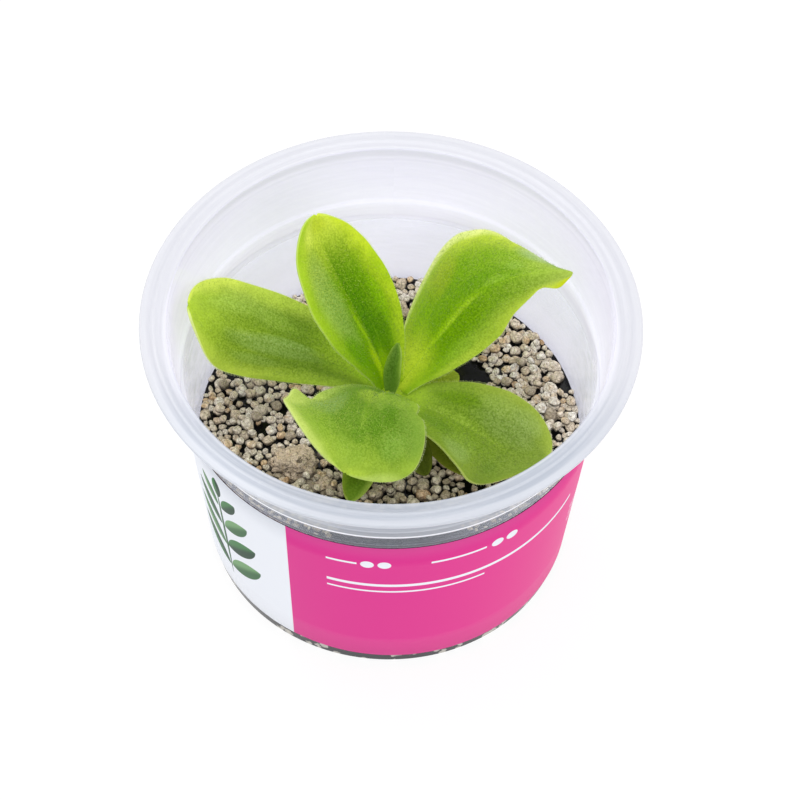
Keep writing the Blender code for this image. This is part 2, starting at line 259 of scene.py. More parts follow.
white_floor()
lamp("tent roof", (-0.15, 0.25, 0.9), 0.7, 3.0)
lamp("front fill", (0.35, -0.7, 0.55), 0.5, 1.0)
world = bpy.data.worlds.new("light tent")
world.use_nodes = True
world.node_tree.nodes["Background"].inputs["Color"].default_value = (0.97, 0.98, 1.0, 1.0)
world.node_tree.nodes["Background"].inputs["Strength"].default_value = 0.72
bpy.context.scene.world = world
bpy.context.scene.view_settings.view_transform = "Standard"
print("floor and lamps placed")

# %% [markdown]
# ## The cup
# The real cup is moulded from a clear, slightly milky plastic about 1 mm thick. It has a tapering wall,
# a step that a lid rests on, a wide flange with a raised ring, and a turned-down lip.
# The shape is round, so one profile is spun about the upright axis. The CAD cup has 64 flat sides; this one
# has three times as many, rounder corners and the two fine rings that the mould leaves beside the seat.

# %% Cup profile
BASE_RADIUS = 37.85             # all lengths of the cup are in mm
WALL_DRAFT = 0.0913
WALL = 1.0
FLOOR_THICK = 0.6
FOOT_ROUND = 0.5
STEP_HEIGHT = 53.5
STEP_OUT = 0.9
SEAT_RADIUS = 44.6
SEAT_HEIGHT = 65.2
SEAT_ROUND = 0.45
FLANGE_RADIUS = 50.0
FLANGE_HEIGHT = 67.2
FLANGE_FALL = 0.3
LIP_ROUND = 0.36
RIDGE_RADIUS = 47.2
RIDGE_HALF = 0.9
RIDGE_RISE = 0.18
SPIN_STEPS = 192


def outer_wall(height):
    return BASE_RADIUS + WALL_DRAFT * height


def inner_wall(height):
    return outer_wall(height) - WALL


def arc(centre, radius, start, end, count):
    """Points of an arc in the (r, z) plane, angles in degrees."""
    angles = [math.radians(start + (end - start) * i / count) for i in range(count + 1)]
    return [(centre[0] + radius * math.cos(a), centre[1] + radius * math.sin(a)) for a in angles]


def hump(start, end, rise, count=6):
    """A low rounded ridge between two points of the profile."""
    shares = [i / count for i in range(count + 1)]
    (r, z), (dr, dz) = start, (end[0] - start[0], end[1] - start[1])
    return [(r + dr * share, z + dz * share + rise * math.sin(math.pi * share) ** 2) for share in shares]


def cup_profile():
    """The (r, z) points of the wall, from the middle of the floor inside, over the lip, to the foot."""
    inner, outer = inner_wall(STEP_HEIGHT), outer_wall(STEP_HEIGHT)
    edge = FLANGE_HEIGHT - FLANGE_FALL
    corner = FLOOR_THICK + FOOT_ROUND
    inside = [(0.0, FLOOR_THICK)] + arc((inner_wall(corner) - FOOT_ROUND, corner), FOOT_ROUND, -90.0, 0.0, 5)
    inside += [(inner_wall(z), z) for z in (12, 28, 44, 52)]
    step = [(inner + out * STEP_OUT, STEP_HEIGHT + up)
            for out, up in ((0.0, -0.25), (0.25, 0.08), (0.7, 0.25), (1.0, 0.6))]
    seat = [(SEAT_RADIUS - 0.45, SEAT_HEIGHT - 3.0), (SEAT_RADIUS, SEAT_HEIGHT)]
    seat += arc((SEAT_RADIUS + SEAT_ROUND, FLANGE_HEIGHT - SEAT_ROUND), SEAT_ROUND, 180.0, 90.0, 5)
    ridge = hump((RIDGE_RADIUS - RIDGE_HALF, FLANGE_HEIGHT), (RIDGE_RADIUS + RIDGE_HALF, FLANGE_HEIGHT - 0.1),
                 RIDGE_RISE)
    lip = arc((FLANGE_RADIUS - LIP_ROUND, edge - LIP_ROUND), LIP_ROUND, 80.0, -90.0, 8)
    outside = arc((SEAT_RADIUS + 1.9, SEAT_HEIGHT + 0.2), 0.8, 100.0, 180.0, 5)
    outside += [(outer + out * STEP_OUT, STEP_HEIGHT + up)
                for out, up in ((1.0, 0.4), (0.8, -0.2), (0.3, -0.8))]
    outside += [(outer_wall(z), z) for z in (STEP_HEIGHT - 1.4, 44, 28, 12)]
    foot = arc((outer_wall(FOOT_ROUND) - FOOT_ROUND, FOOT_ROUND), FOOT_ROUND, 0.0, -90.0, 5) + [(0.0, 0.0)]
    return inside + step + seat + ridge + lip + outside + foot


print("cup profile:", len(cup_profile()), "points")


# %% Spin the cup
def spun(profile, steps=SPIN_STEPS):
    """Spin an (r, z) profile once round the upright axis and weld the seam and the poles."""
    bm = bmesh.new()
    points = [bm.verts.new((r * MM, 0.0, z * MM)) for r, z in profile]
    edges = [bm.edges.new(pair) for pair in zip(points, points[1:])]
    bmesh.ops.spin(bm, geom=points + edges, cent=(0, 0, 0), axis=(0, 0, 1), angle=math.tau, steps=steps,
                   use_merge=True, use_duplicate=False)
    bmesh.ops.remove_doubles(bm, verts=bm.verts, dist=0.002 * MM)
    bmesh.ops.recalc_face_normals(bm, faces=bm.faces)
    return bm


def sunk_grains(recipe):
    """Black gel as it looks through the wall, with pale patches where a grain sank against it."""
    sunk = recipe.cells(420.0) + (recipe.noise(900.0, 3.0) - 0.5) * 0.7
    patch = sunk.rise(0.44, 0.34) * recipe.noise(170.0, 1.0).rise(0.40, 0.47)
    black = recipe.noise(300.0, 3.0).blend((8, 8, 12), (34, 33, 42))
    return patch.blend(black, recipe.noise(700.0, 3.0).blend((132, 128, 122), (216, 211, 200)))


def milky_plastic():
    """Clear plastic that scatters a little: more of it is seen where it is thick or stands on edge. At the
    foot the gel fills the wall to the eye, because the plastic bends the light, so it is dark there. The
    plastic glows a little, as painted light for light that passes through it, and it carries painted shade in
    front, painted highlights on the flange and the step, and a painted shadow just above the paper."""
    recipe = Recipe("clear milky plastic", roughness=0.18, ior=1.49, coat_weight=0.2, coat_roughness=0.08,
                    specular_ior_level=0.4, emission_strength=0.4)
    x, y, z = recipe.millimetres()
    radius = (x * x + y * y).math("SQRT")
    streaks = recipe.vector(radius * 1.3, recipe.math("ARCTAN2", x, -y) * 2.2, z * 0.7)
    flow = recipe.noise(1.0, 3.0, streaks)

    def band(value, centre, half):
        return abs(value - centre).rise(1.5 * half, 0.5 * half)

    front = y.rise(-8.0, -36.0)
    outside = (radius - z * WALL_DRAFT).rise(BASE_RADIUS - 0.6, BASE_RADIUS - 0.4)
    flange = radius.rise(44.75, 45.1) * z.rise(64.0, 64.6)
    upper = front.blend(z.rise(48.7, 49.1), z.rise(52.6, 54.2)) * (1.0 - flange)
    foot = z.rise(6.0, 5.0)
    # Painted shade: a grey line inside the seat, thin in front and broader behind.
    seat = front.blend(band(z, 64.2, 0.3) * 0.5, band(z, 63.2, 0.7) * 0.6)
    # Painted highlight: a bright line outside the step, in front.
    step = band(z, 54.0, 0.3) * outside * front
    # Painted shadow: a dark line outside the wall just above the paper, in front.
    gap_shadow = band(z, 49.0, 0.5) * outside * front
    crumbs = recipe.noise(330.0).rise(0.46, 0.60) * z.rise(44.0, 33.0) * y.rise(20.0, 4.0)
    sides = abs(x).rise(8.0, 30.0) * z.rise(48.8, 49.6) * (1.0 - upper) * front
    # Painted highlights on the flange: at its inner edge, on the raised ring and along the outer band.
    rings = band(radius, 45.05, 0.35) * 0.7 + band(radius, 47.15, 0.35) * 0.4 + radius.rise(48.2, 48.9) * 0.9
    rings = (rings * flange).math("MINIMUM", 1.0)
    cover = 0.16 + upper * 0.34 + flange * 0.5 + (flow - 0.5) * 0.08 + sides * 0.28 + crumbs * 0.10
    cover = cover + step * 0.6 + gap_shadow * 0.8 + foot * 0.9
    # The plastic's colour and its highlight tint are darker in front: painted shade.
    light = front.blend((236, 236, 241), (224, 227, 234))
    color = layered(front.blend((225, 225, 232), (192, 198, 209)),
                    (rings, light), (flow.rise(0.40, 0.62) * 0.35, light), (seat, (204, 204, 211)),
                    (crumbs, (206, 204, 208)), (step, (240, 241, 247)), (gap_shadow, (30, 28, 36)),
                    (foot, sunk_grains(recipe)))
    # The glow is painted light, weaker in front and on the flange. Behind, it grows towards the step to lift
    # the shade that falls there; the painted shadow and the gel get none.
    behind = z.rise(62.0, 53.0).blend((201, 194, 230), (218, 213, 240))
    glow = layered(upper.blend((132, 133, 140), front.blend(behind, (121, 123, 132))),
                   (flange, (79, 81, 88)), ((gap_shadow + foot).math("MINIMUM", 1.0), (0, 0, 0)))
    return recipe.finish(base_color=color, alpha=cover.math("MINIMUM", 1.0), emission_color=glow,
                         coat_weight=0.2 - foot * 0.2, normal=recipe.bump(flow, 0.03))


add_piece("cup_shell", spun(cup_profile()), [milky_plastic()], ["cup"])

# %% [markdown]
# ## The paper sleeve
# A strip of coated paper goes once round the cup, and its end laps over its start at the back.
# It begins as a flat grid with a UV map, as the paper does on the printing sheet, and is then rolled round
# the cone, so the printing can be designed flat, in millimetres. The panel colours follow the real sleeve.
# Where that carries words and a picture, this one has plain rules, dots and a plain sprig.

# %% Roll the sleeve
SLEEVE_BOTTOM = 2.6             # all lengths of the sleeve are in mm
SLEEVE_TOP = 48.7
PAPER = 0.16
PAPER_CLEARANCE = 0.34
LAP_LIFT = PAPER + 0.05
LAP = math.radians(14.0)
SHEET_START = math.radians(105.0)  # behind a leaf, as seen from the front
SLEEVE_LENGTH = 263.6           # at half height
SLEEVE_HEIGHT = 46.5
SHEET_SHIFT = SLEEVE_LENGTH * 15.0 / 374.0  # the printing starts 15 of the sheet's 374 degrees further on
SOFT = 0.08                     # half the width over which a printed edge fades
WHITE_INK = (233, 236, 243)
DARK_LEAF = ((24, 62, 40), (58, 120, 62))
PALE_LEAF = ((52, 100, 58), (112, 158, 104))
RULES = [                       # centre along and up the sheet, half length, half height
    (118.1, 39.5, 3.0, 0.35), (141.0, 39.5, 5.6, 0.35), (143.5, 31.0, 28.5, 0.5), (131.0, 28.4, 16.0, 0.3),
    (188.0, 22.0, 13.0, 0.3), (188.0, 19.4, 13.0, 0.3), (183.0, 16.8, 8.0, 0.3),
]
DOTS = [(centre, 39.5, 1.3) for centre in (123.1, 126.4, 149.0, 152.3)]
SPRIG = [                       # centre, lean from the sheet's length in degrees, half sizes, colours
    (88.0, 22.0, 90.0, 17.0, 0.45, DARK_LEAF),
    (82.5, 13.0, 140.0, 6.8, 2.5, DARK_LEAF), (93.5, 13.5, 40.0, 6.8, 2.5, PALE_LEAF),
    (82.8, 21.0, 138.0, 6.6, 2.4, PALE_LEAF), (93.2, 21.6, 42.0, 6.6, 2.4, DARK_LEAF),
    (83.4, 28.8, 134.0, 5.8, 2.1, DARK_LEAF), (92.6, 29.3, 46.0, 5.8, 2.1, PALE_LEAF),
    (84.8, 35.4, 126.0, 4.4, 1.7, PALE_LEAF), (91.2, 35.8, 54.0, 4.4, 1.7, DARK_LEAF),
    (88.0, 39.6, 90.0, 3.6, 1.5, DARK_LEAF),
]


def sleeve_mesh():
    """The sheet starts and ends at the back of the cup; u runs round it and v runs up."""
    bm = bmesh.new()
    bm.loops.layers.uv.new("print")
    bmesh.ops.create_grid(bm, x_segments=230, y_segments=6, size=1.0, calc_uvs=True)
    turn = math.tau + LAP
    for vert in bm.verts:
        u = 0.5 * (vert.co.x + 1.0)
        v = 0.5 * (vert.co.y + 1.0)
        angle = SHEET_START + u * turn
        askew = min(max(0.45 - 0.76 * math.cos(angle), -0.25), 0.8)
        z = SLEEVE_BOTTOM + askew * (1.0 - v) + v * (SLEEVE_TOP - SLEEVE_BOTTOM)
        lapped = min(max((u * turn - math.tau + LAP) / LAP, 0.0), 1.0)
        r = outer_wall(z) + PAPER_CLEARANCE + LAP_LIFT * lapped * lapped * (3.0 - 2.0 * lapped)
        vert.co = Vector((r * math.cos(angle), r * math.sin(angle), z)) * MM
    return bm


def printed_paper():
    """The printing: a white panel with a sprig, and a pink panel with rules and dots."""
    # The paper glows a little of its own colour: painted light.
    recipe = Recipe("printed coated paper", roughness=0.45, specular_ior_level=0.2, emission_strength=0.10)
    u, v = recipe.sheet("print")
    along_sheet = u * SLEEVE_LENGTH + SHEET_SHIFT
    up_sheet = v * SLEEVE_HEIGHT
    # The last layer paints the pink lighter along its top: painted light against the flange's shade.
    pink = layered(along_sheet.rise(118.0, 190.0).blend((217, 38, 138), (232, 48, 140)),
                   (recipe.noise(55.0) * 0.12, (200, 20, 132)),
                   (up_sheet.rise(40.0, 46.0) * 0.5, (236, 96, 168)))
    on_pink = (along_sheet + (1.0 - v) * 1.2).rise(107.0, 107.2) * along_sheet.rise(222.1, 221.9)
    color = on_pink.blend(WHITE_INK, pink)
    for centre, level, half_length, half_height in RULES:
        bar = abs(along_sheet - centre).rise(half_length + SOFT, half_length - SOFT)
        bar = bar * abs(up_sheet - level).rise(half_height + SOFT, half_height - SOFT)
        color = bar.blend(color, WHITE_INK)
    for centre, level, radius in DOTS:
        reach = ((along_sheet - centre) ** 2.0 + (up_sheet - level) ** 2.0).math("SQRT")
        color = reach.rise(radius + 0.1, radius - 0.1).blend(color, WHITE_INK)
    for centre, level, lean, half_length, half_width, green in SPRIG:
        x, y = along_sheet - centre, up_sheet - level
        c, s = math.cos(math.radians(lean)), math.sin(math.radians(lean))
        lengthwise = (x * c + y * s) / half_length
        crosswise = (y * c - x * s) / half_width
        leaf = (1.0 - abs(lengthwise) ** 2.0 - abs(crosswise) ** 1.3).rise(0.0, 0.06)
        vein = abs(crosswise).rise(0.0, 0.12, 0.75, 1.0)
        color = leaf.blend(color, (crosswise.rise(-0.3, 0.5) * vein).blend(*green))
    grain = recipe.noise(1500.0)
    return recipe.finish(base_color=color, emission_color=color, normal=recipe.bump(grain, 0.003))


def plain_paper():
    """The white paper seen through the wall. It glows, as painted light for light that comes through the
    paper, and at the sides its glow is painted darker in streaks: painted shade and painted reflection.
    """
    recipe = Recipe("plain inner side of the paper", roughness=0.7, emission_strength=0.75)
    x, y, z = recipe.millimetres()
    # Painted shade at the sides, in streaks of painted reflection, taken off the glow.
    reflection_streaks = recipe.noise(1.0, 3.0, recipe.vector(z * 0.7, y * 0.22, 0.0))
    side_shade = abs(x).rise(30.0, 36.0) * y.rise(20.0, 9.0) * (0.45 + reflection_streaks.rise(0.44, 0.62) * 0.55)
    light = side_shade.blend((0.885, 0.878, 1.0, 1.0), (0.66, 0.665, 0.72, 1.0))
    fibre = recipe.noise(900.0, 3.0)
    return recipe.finish(base_color=fibre.blend((170, 170, 174), (180, 180, 184)), emission_color=light,
                         normal=recipe.bump(fibre, 0.02))


def cut_edge():
    """Pale behind, and dark in front, where the bed's shade lies on it."""
    recipe = Recipe("cut edge of the paper", roughness=0.8)
    fibre = recipe.noise(900.0).blend((186, 180, 188), (206, 202, 210))
    return recipe.finish(base_color=recipe.millimetres()[1].rise(0.0, -20.0).blend(fibre, (70, 44, 62)))


sleeve = add_piece("paper_sleeve", sleeve_mesh(), [printed_paper(), plain_paper(), cut_edge()],
                   ["label_sleeve"])
paper = sleeve.modifiers.new("paper", "SOLIDIFY")
paper.thickness = PAPER * MM
paper.offset = -1.0
paper.material_offset = 1
paper.material_offset_rim = 2

# %% [markdown]
# ## The black gel
# The gel is poured in warm and sets with a slightly dented, wet top that climbs a little at the wall.
# Grains that sank against the wall show through the clear plastic as pale patches.
# A profile is spun for the body, and the vertices of its top are then pushed up and down by noise.

# %% Gel body
GEL_CLEARANCE = 0.12            # all lengths of the gel are in mm
GEL_FLOOR = FLOOR_THICK + GEL_CLEARANCE
GEL_LEVEL = 30.6
GEL_RADIUS = 38.6


def gel_height(x, y):
    """Height of the gel's wet top, which lies in low swells and climbs a little at the wall."""
    swell = noise.noise(Vector((x, y, 0.0)) * 0.13) * 0.35
    swell += noise.noise(Vector((x, y, 9.0 / MM)) * 0.42) * 0.15
    edge = max(0.0, (math.hypot(x, y) - 37.0) / 2.4)
    return GEL_LEVEL + swell + 0.5 * edge * edge


def gel_mesh():
    top = [(r, GEL_LEVEL) for r in np.linspace(0.0, GEL_RADIUS, 40)]
    wall = [(inner_wall(z) - GEL_CLEARANCE, z) for z in (30.9, 22, 12, 4)]
    corner = FOOT_ROUND + GEL_CLEARANCE
    centre = (inner_wall(GEL_FLOOR + corner) - GEL_CLEARANCE - corner, GEL_FLOOR + corner)
    bm = spun(top + wall + arc(centre, corner, 0.0, -90.0, 4) + [(0.0, GEL_FLOOR)], steps=128)
    for vert in bm.verts:
        if vert.co.z > (GEL_LEVEL - 0.01) * MM:
            vert.co.z = gel_height(vert.co.x / MM, vert.co.y / MM) * MM
    return bm


def black_gel():
    recipe = Recipe("wet black gel", roughness=0.25, ior=1.36, specular_ior_level=0.2, coat_weight=0.12,
                    coat_roughness=0.05)
    top = recipe.noise(300.0, 3.0).blend((8, 8, 10), (24, 23, 27))
    color = recipe.millimetres()[2].rise(28.5, 27.0).blend(top, sunk_grains(recipe))
    ripple = recipe.noise(500.0, 3.0)
    return recipe.finish(base_color=color, roughness=0.18 + ripple * 0.2, normal=recipe.bump(ripple, 0.25))


add_piece("gel_body", gel_mesh(), [black_gel()], ["gel"])

# %% [markdown]
# ## Leaves
# A leaf of this plant is a soft tongue with a sunken midrib. Its margins turn up or down, and its upper side
# glistens with short glands. The CAD leaf is a coarse form of the same rule: a midrib that bends and
# twists, and on each side a cross-section whose slope changes towards the margin. Here the grid is finer,
# the leaf bases are as broad as the real ones, and small swells and a groove are added.

# %% The leaf rule
LEAF_COLUMNS = "root_height length heading lift widths base widest power valleys curls twist rolls".split()
LEAF_ROWS = {                   # mm and degrees; three values are those of the root, the middle and the tip
    "leaf_left": (34.5, 48.8, (156, 188, 173), (37, 32, 49), (8.5, 14.5), 0.39, 0.74, 1.6,
        ((33, -20, 4), (33, -11, -2)), ((4, -20, -7), (4, -17, -10)), (7, -24, 10)),
    "leaf_back_left": (36.1, 41.9, (117, 145, 97), (67, 56, 49), (12.6, 11.9), 0.36, 0.57, 1.95,
        ((28, 12, 18), (25, 9, 3)), ((1, -1, 2), (0, -2, 0)), (6, 5, 31)),
    "leaf_back_right": (35.5, 51.4, (47, 9, 18), (29, 55, -43), (20.2, 9.9), 0.4, 0.5, 1.0,
        ((-12, -23, -43), (-4, -28, -48)), ((-6, -25, -40), (-3, -24, -44)), (-17, 24, 9),
        ((-110, 0.9, 0.3), (0, 0.5, 0.3))),
    "leaf_front_right": (34.6, 33.6, (-30, -26, -48), (25, -13, 24), (11.4, 16.2), 0.36, 0.69, 2.05,
        ((13, 25, 1), (14, 24, 4)), ((1, -1, -10), (1, 0, -9)), (-4, -4, -9)),
    "leaf_front": (35.9, 44.1, (-120, -96, -115), (55, 38, -28), (13.4, 16.7), 0.12, 0.77, 2.35,
        ((24, -4, 1), (32, -7, 19)), ((2, -14, -10), (4, -7, 3)), (-10, -1, -38),
        ((0, 0.5, 0.3), (75, 0.55, 0.45))),
    "leaf_young": (36.3, 11.6, (72, 66, 71), (65, 67, 70), (1.9, 3.3), 0.64, 0.45, 1.5,
        ((30, 32, 30), (29, 36, 32)), ((0, 1, 0), (0, 2, 1)), (1, -5, -4)),
    "leaf_old_front": (33.0, 26.0, (-112, -104, -108), (8, 4, -6), (3.8, 3.8), 0.3, 0.62, 2.0,
        ((12, 14, 8), (12, 14, 8))),
    "leaf_old_front_right": (33.75, 19.0, (-66, -70, -72), (6, 0, -5), (3.1, 3.1), 0.3, 0.6, 2.0,
        ((12, 14, 8), (12, 14, 8))),
    "leaf_old_right": (32.85, 24.0, (-34, -50, -54), (3, 0, 0), (4.0, 4.6), 0.26, 0.6, 2.0,
        ((4, 3, 2), (4, 6, 4))),
    "leaf_old_back_right": (33.2, 13.5, (22, 25, 26), (6, 2, 0), (2.4, 2.6), 0.4, 0.7, 3.0,
        ((10, 12, 8), (10, 12, 8))),
}
LEAVES = {name: dict(zip(LEAF_COLUMNS, row)) for name, row in LEAF_ROWS.items()}
LEAVES["leaf_young"]["root_reach"] = 0.0
LARGE_LEAVES = [name for name in LEAVES if "old" not in name and "young" not in name]
LEVEL = (0, 0, 0)
NO_ROLLS = ((0, 0.5, 0.3), (0, 0.5, 0.3))
CROWN = (0.2, 5.2)              # mm, the middle of the rosette
ROOT_REACH = 1.96               # mm from the crown's middle to the start of a leaf
ROOT_LEVEL = 35.0               # mm, about where the leaves start
OPENING_POWER = 1.6
NECK_SHARE = 0.8
NECK_LENGTH = 0.18
LEAST_SHARE = 0.05
MARGIN_START = 0.78
TIP_CROWDING = 1.6
MIDRIB_STEPS = 120
SECTION_STEPS = 24


def along(values, t):
    """The smooth curve through a value at the root, the middle and the tip."""
    root, middle, tip = values
    return root * (1 - t) * (1 - 2 * t) + 4 * middle * t * (1 - t) + tip * t * (2 * t - 1)


def half_width(leaf, t):
    """Share of the greatest half width: a petiole that opens out, then a rounded end."""
    opening = np.sin(np.clip(t / leaf["widest"], 0.0, 1.0) * math.pi / 2.0) ** OPENING_POWER
    blade = leaf["base"] + (1.0 - leaf["base"]) * opening
    past = np.clip((t - leaf["widest"]) / (1.0 - leaf["widest"]), 0.0, 1.0)
    rounding = np.sqrt(np.clip(1.0 - past ** leaf["power"], 0.0, 1.0))
    neck = NECK_SHARE + (1.0 - NECK_SHARE) * np.clip(t / NECK_LENGTH, 0.0, 1.0)
    return np.maximum(blade * rounding * neck, LEAST_SHARE)


def rolled(values, t):
    amount, centre, reach = values
    u = np.clip(np.abs(t - centre) / reach, 0.0, 1.0)
    return amount * (0.5 + 0.5 * np.cos(math.pi * u))


def directions(leaf, t):
    """Compass heading in radians and the forward direction of the midrib."""
    heading = np.radians(along(leaf["heading"], t))
    lift = np.radians(along(leaf["lift"], t))
    forward = [np.cos(lift) * np.cos(heading), np.cos(lift) * np.sin(heading), np.sin(lift)]
    return heading, np.stack(forward, axis=-1)


def midrib(leaf, t):
    """Points of the midrib in mm, with the sideways and upward directions there."""
    root_heading = math.radians(leaf["heading"][0])
    stand_off = leaf.get("root_reach", ROOT_REACH)
    root = np.array([CROWN[0] + stand_off * math.cos(root_heading),
                     CROWN[1] + stand_off * math.sin(root_heading), leaf["root_height"]])
    fine = (np.arange(MIDRIB_STEPS) + 0.5) / MIDRIB_STEPS
    travelled = np.cumsum(directions(leaf, fine)[1], axis=0) / MIDRIB_STEPS
    path = root + leaf["length"] * np.vstack([np.zeros(3), travelled])
    stations = np.linspace(0.0, 1.0, MIDRIB_STEPS + 1)
    points = np.stack([np.interp(t, stations, path[:, axis]) for axis in range(3)], axis=-1)
    heading, forward = directions(leaf, t)
    level = np.stack([-np.sin(heading), np.cos(heading), np.zeros_like(heading)], axis=-1)
    upright = np.cross(forward, level)
    twist = np.radians(along(leaf.get("twist", LEVEL), t))[..., None]
    c, s = np.cos(twist), np.sin(twist)
    return points, level * c + upright * s, upright * c - level * s


def blade_points(leaf, t, across):
    """Points of the blade in mm; across runs from -1 at the right margin to 1 at the left one."""
    points, sideways, upward = midrib(leaf, t)
    left = across > 0

    def of_side(pair, curve):
        return np.where(left, curve(pair[0], t), curve(pair[1], t))

    valley = np.radians(of_side(leaf["valleys"], along))[:, None]
    curl = np.radians(of_side(leaf.get("curls", (LEVEL, LEVEL)), along))[:, None]
    roll = np.radians(of_side(leaf.get("rolls", NO_ROLLS), rolled))[:, None]
    run = (np.arange(SECTION_STEPS) + 0.5) / SECTION_STEPS * np.abs(across)[:, None]
    margin = np.clip((run - MARGIN_START) / (1.0 - MARGIN_START), 0.0, 1.0)
    slope = valley + curl * run ** 2 + roll * margin
    width = np.where(left, *leaf["widths"]) * half_width(leaf, t)
    out = np.cos(slope).mean(axis=1) * across * width
    up = np.sin(slope).mean(axis=1) * np.abs(across) * width
    return points + out[:, None] * sideways + up[:, None] * upward


PULLS = {                       # t, across, reach in t, reach across, then the pull in mm
    "leaf_front": [(0.6, -1.0, 0.07, 0.34, 0.0, 0.0, 2.7), (0.47, -1.0, 0.045, 0.3, 0.3, -0.6, -0.9),
        (0.7, -1.0, 0.06, 0.2, 0.5, 0.0, 0.3), (0.5, 1.0, 0.028, 0.16, -1.0, 0.0, 0.0),
        (0.42, 1.0, 0.05, 0.2, 0.3, 0.2, 0.4), (0.3, -0.5, 0.14, 0.3, 0.0, 0.0, 1.1),
        (0.36, 0.5, 0.15, 0.28, 0.0, 0.0, 1.2), (0.42, -0.02, 0.22, 0.16, 0.0, 0.0, -1.0),
        (0.82, -0.25, 0.12, 0.3, 0.0, 0.0, -0.4)],
    "leaf_back_right": [(0.95, -1.0, 0.04, 0.17, 0.6, -0.1, -1.4), (0.86, -1.0, 0.05, 0.3, -0.2, 0.3, 0.3),
        (0.62, 1.0, 0.07, 0.3, 0.0, 0.0, 0.3), (0.4, 0.45, 0.16, 0.25, 0.0, 0.0, 0.5),
        (0.84, 0.3, 0.18, 1.2, 0.1, -0.6, -0.65)],
    "leaf_back_left": [(0.5, 0.55, 0.2, 0.3, 0.0, 0.0, 0.4), (0.4, -0.4, 0.2, 0.25, 0.0, 0.0, 0.5),
        (0.97, 0.0, 0.15, 2.0, 0.0, -0.2, -0.25), (0.7, -1.0, 0.25, 0.5, -0.3, -0.1, 0.0)],
    "leaf_left": [(0.55, 0.45, 0.2, 0.3, 0.0, 0.0, 0.5), (0.7, -0.55, 0.14, 0.3, 0.0, 0.0, 0.4)],
    "leaf_young": [(0.6, 0.0, 1.2, 4.0, -0.5, 0.0, 0.0)],
    "leaf_front_right": [(0.45, 0.5, 0.18, 0.3, 0.0, 0.0, 0.5), (0.6, -0.45, 0.16, 0.25, 0.0, 0.0, 0.4)],
}
GROOVE, KEEL, BULGE, WAVE = 0.42, 0.20, 0.45, 0.16  # mm, on a leaf of the usual length
USUAL_LENGTH = 45.0


def relief(name, t, across):
    """What the simple rule leaves out, in mm: the midrib's groove, bulges, wavy margins and local pulls."""
    leaf = LEAVES[name]
    size = leaf["length"] / USUAL_LENGTH
    groove = -GROOVE * np.exp(-(across / 0.06) ** 2) * (1.0 - t) ** 0.6
    keel = KEEL * np.exp(-((np.abs(across) - 0.2) / 0.1) ** 2) * (1.0 - t)
    bulges = np.array([noise.noise(Vector((a * 2.2, b * 5.0, leaf["length"]))) for a, b in zip(across, t)])
    wave = np.sin(t * 31.0 + leaf["length"]) * np.abs(across) ** 4 * t
    rise = size * (groove + keel + BULGE * bulges * (1.0 - np.exp(-t * 6.0)) + WAVE * wave)
    moved = rise[:, None] * midrib(leaf, t)[2]
    for at, side, reach, spread, *pull in PULLS.get(name, []):
        share = np.exp(-((t - at) / reach) ** 2 - ((across - side) / spread) ** 2)
        moved = moved + share[:, None] * np.array(pull)
    return moved


def surface(name, t, across):
    """Points in mm of the middle of one leaf's blade."""
    return blade_points(LEAVES[name], t, across) + relief(name, t, across)


print(len(LEAVES), "leaves described")


# %% Blade meshes
BLADE_THICK = 0.55              # mm
LARGE_GRID = (72, 40)
SMALL_GRID = (26, 14)


def blade_mesh(name, rows, columns):
    """A flat grid with its UV map, bent into the blade."""
    bm = bmesh.new()
    bm.loops.layers.uv.new("blade")
    bmesh.ops.create_grid(bm, x_segments=rows, y_segments=columns, size=1.0, calc_uvs=True)
    flat = np.array([vert.co[:] for vert in bm.verts])
    t = 1.0 - (0.5 - 0.5 * flat[:, 0]) ** TIP_CROWDING
    for vert, point in zip(bm.verts, surface(name, t, flat[:, 1])):
        vert.co = Vector(point) * MM
    return bm


print("blade thickness in mm:", BLADE_THICK)

# %% [markdown]
# ## Leaf skin
# The blade is dark where it is thick, near its base and beside the midrib, and turns yellow towards the thin
# margins and the tip, which let the light through. The UV map says how far along and across a place lies, so
# each of these is a smooth step on one of the two. A fine speckle stands for the sessile glands, and their
# glint is painted on it as pale spots. Patches of painted shade and painted highlight lie over the leaf's own
# tones, and the skin glows a little, as painted light for the light that comes through it.

# %% Leaf finish
SKIN = {                        # near, far, right margin, left margin, rim, rib; then where near turns to far
    "leaf_left": ((113, 142, 40), (171, 200, 56), (206, 222, 88), (182, 204, 72), (220, 230, 150),
        (126, 152, 58), (0.26, 1.0)),
    "leaf_back_left": ((110, 154, 6), (209, 225, 74), (206, 226, 50), (164, 198, 42), (196, 216, 110),
        (106, 148, 6), (0.38, 0.98)),
    "leaf_back_right": ((117, 161, 8), (174, 196, 84), (200, 220, 66), (202, 218, 70), (214, 226, 140),
        (156, 196, 20), (0.3, 1.0)),
    "leaf_front_right": ((118, 148, 38), (121, 143, 54), (124, 146, 48), (154, 174, 66), (194, 202, 112),
        (150, 178, 62), (0.2, 0.9)),
    "leaf_front": ((104, 141, 36), (178, 204, 70), (194, 212, 106), (156, 184, 62), (196, 212, 120),
        (116, 154, 28), (0.54, 1.02)),
    "leaf_young": ((94, 130, 42), (108, 142, 56), (126, 158, 56), (118, 150, 52), (156, 180, 80),
        (102, 138, 46), (0.1, 0.9)),
    "leaf_old_front": ((76, 104, 12), (104, 134, 36), (116, 138, 38), (138, 160, 62), (150, 162, 80),
        (110, 134, 26), (0.5, 0.9)),
    "leaf_old_front_right": ((64, 74, 12), (68, 78, 18), (82, 92, 24), (82, 92, 24), (98, 106, 36),
        (68, 78, 18), (0.1, 0.9)),
    "leaf_old_right": ((94, 104, 22), (94, 102, 24), (100, 108, 28), (100, 108, 28), (124, 130, 50),
        (94, 102, 26), (0.1, 0.9)),
    "leaf_old_back_right": ((140, 158, 40), (146, 162, 50), (160, 180, 54), (160, 180, 54), (170, 184, 70),
        (140, 158, 40), (0.1, 0.9)),
}
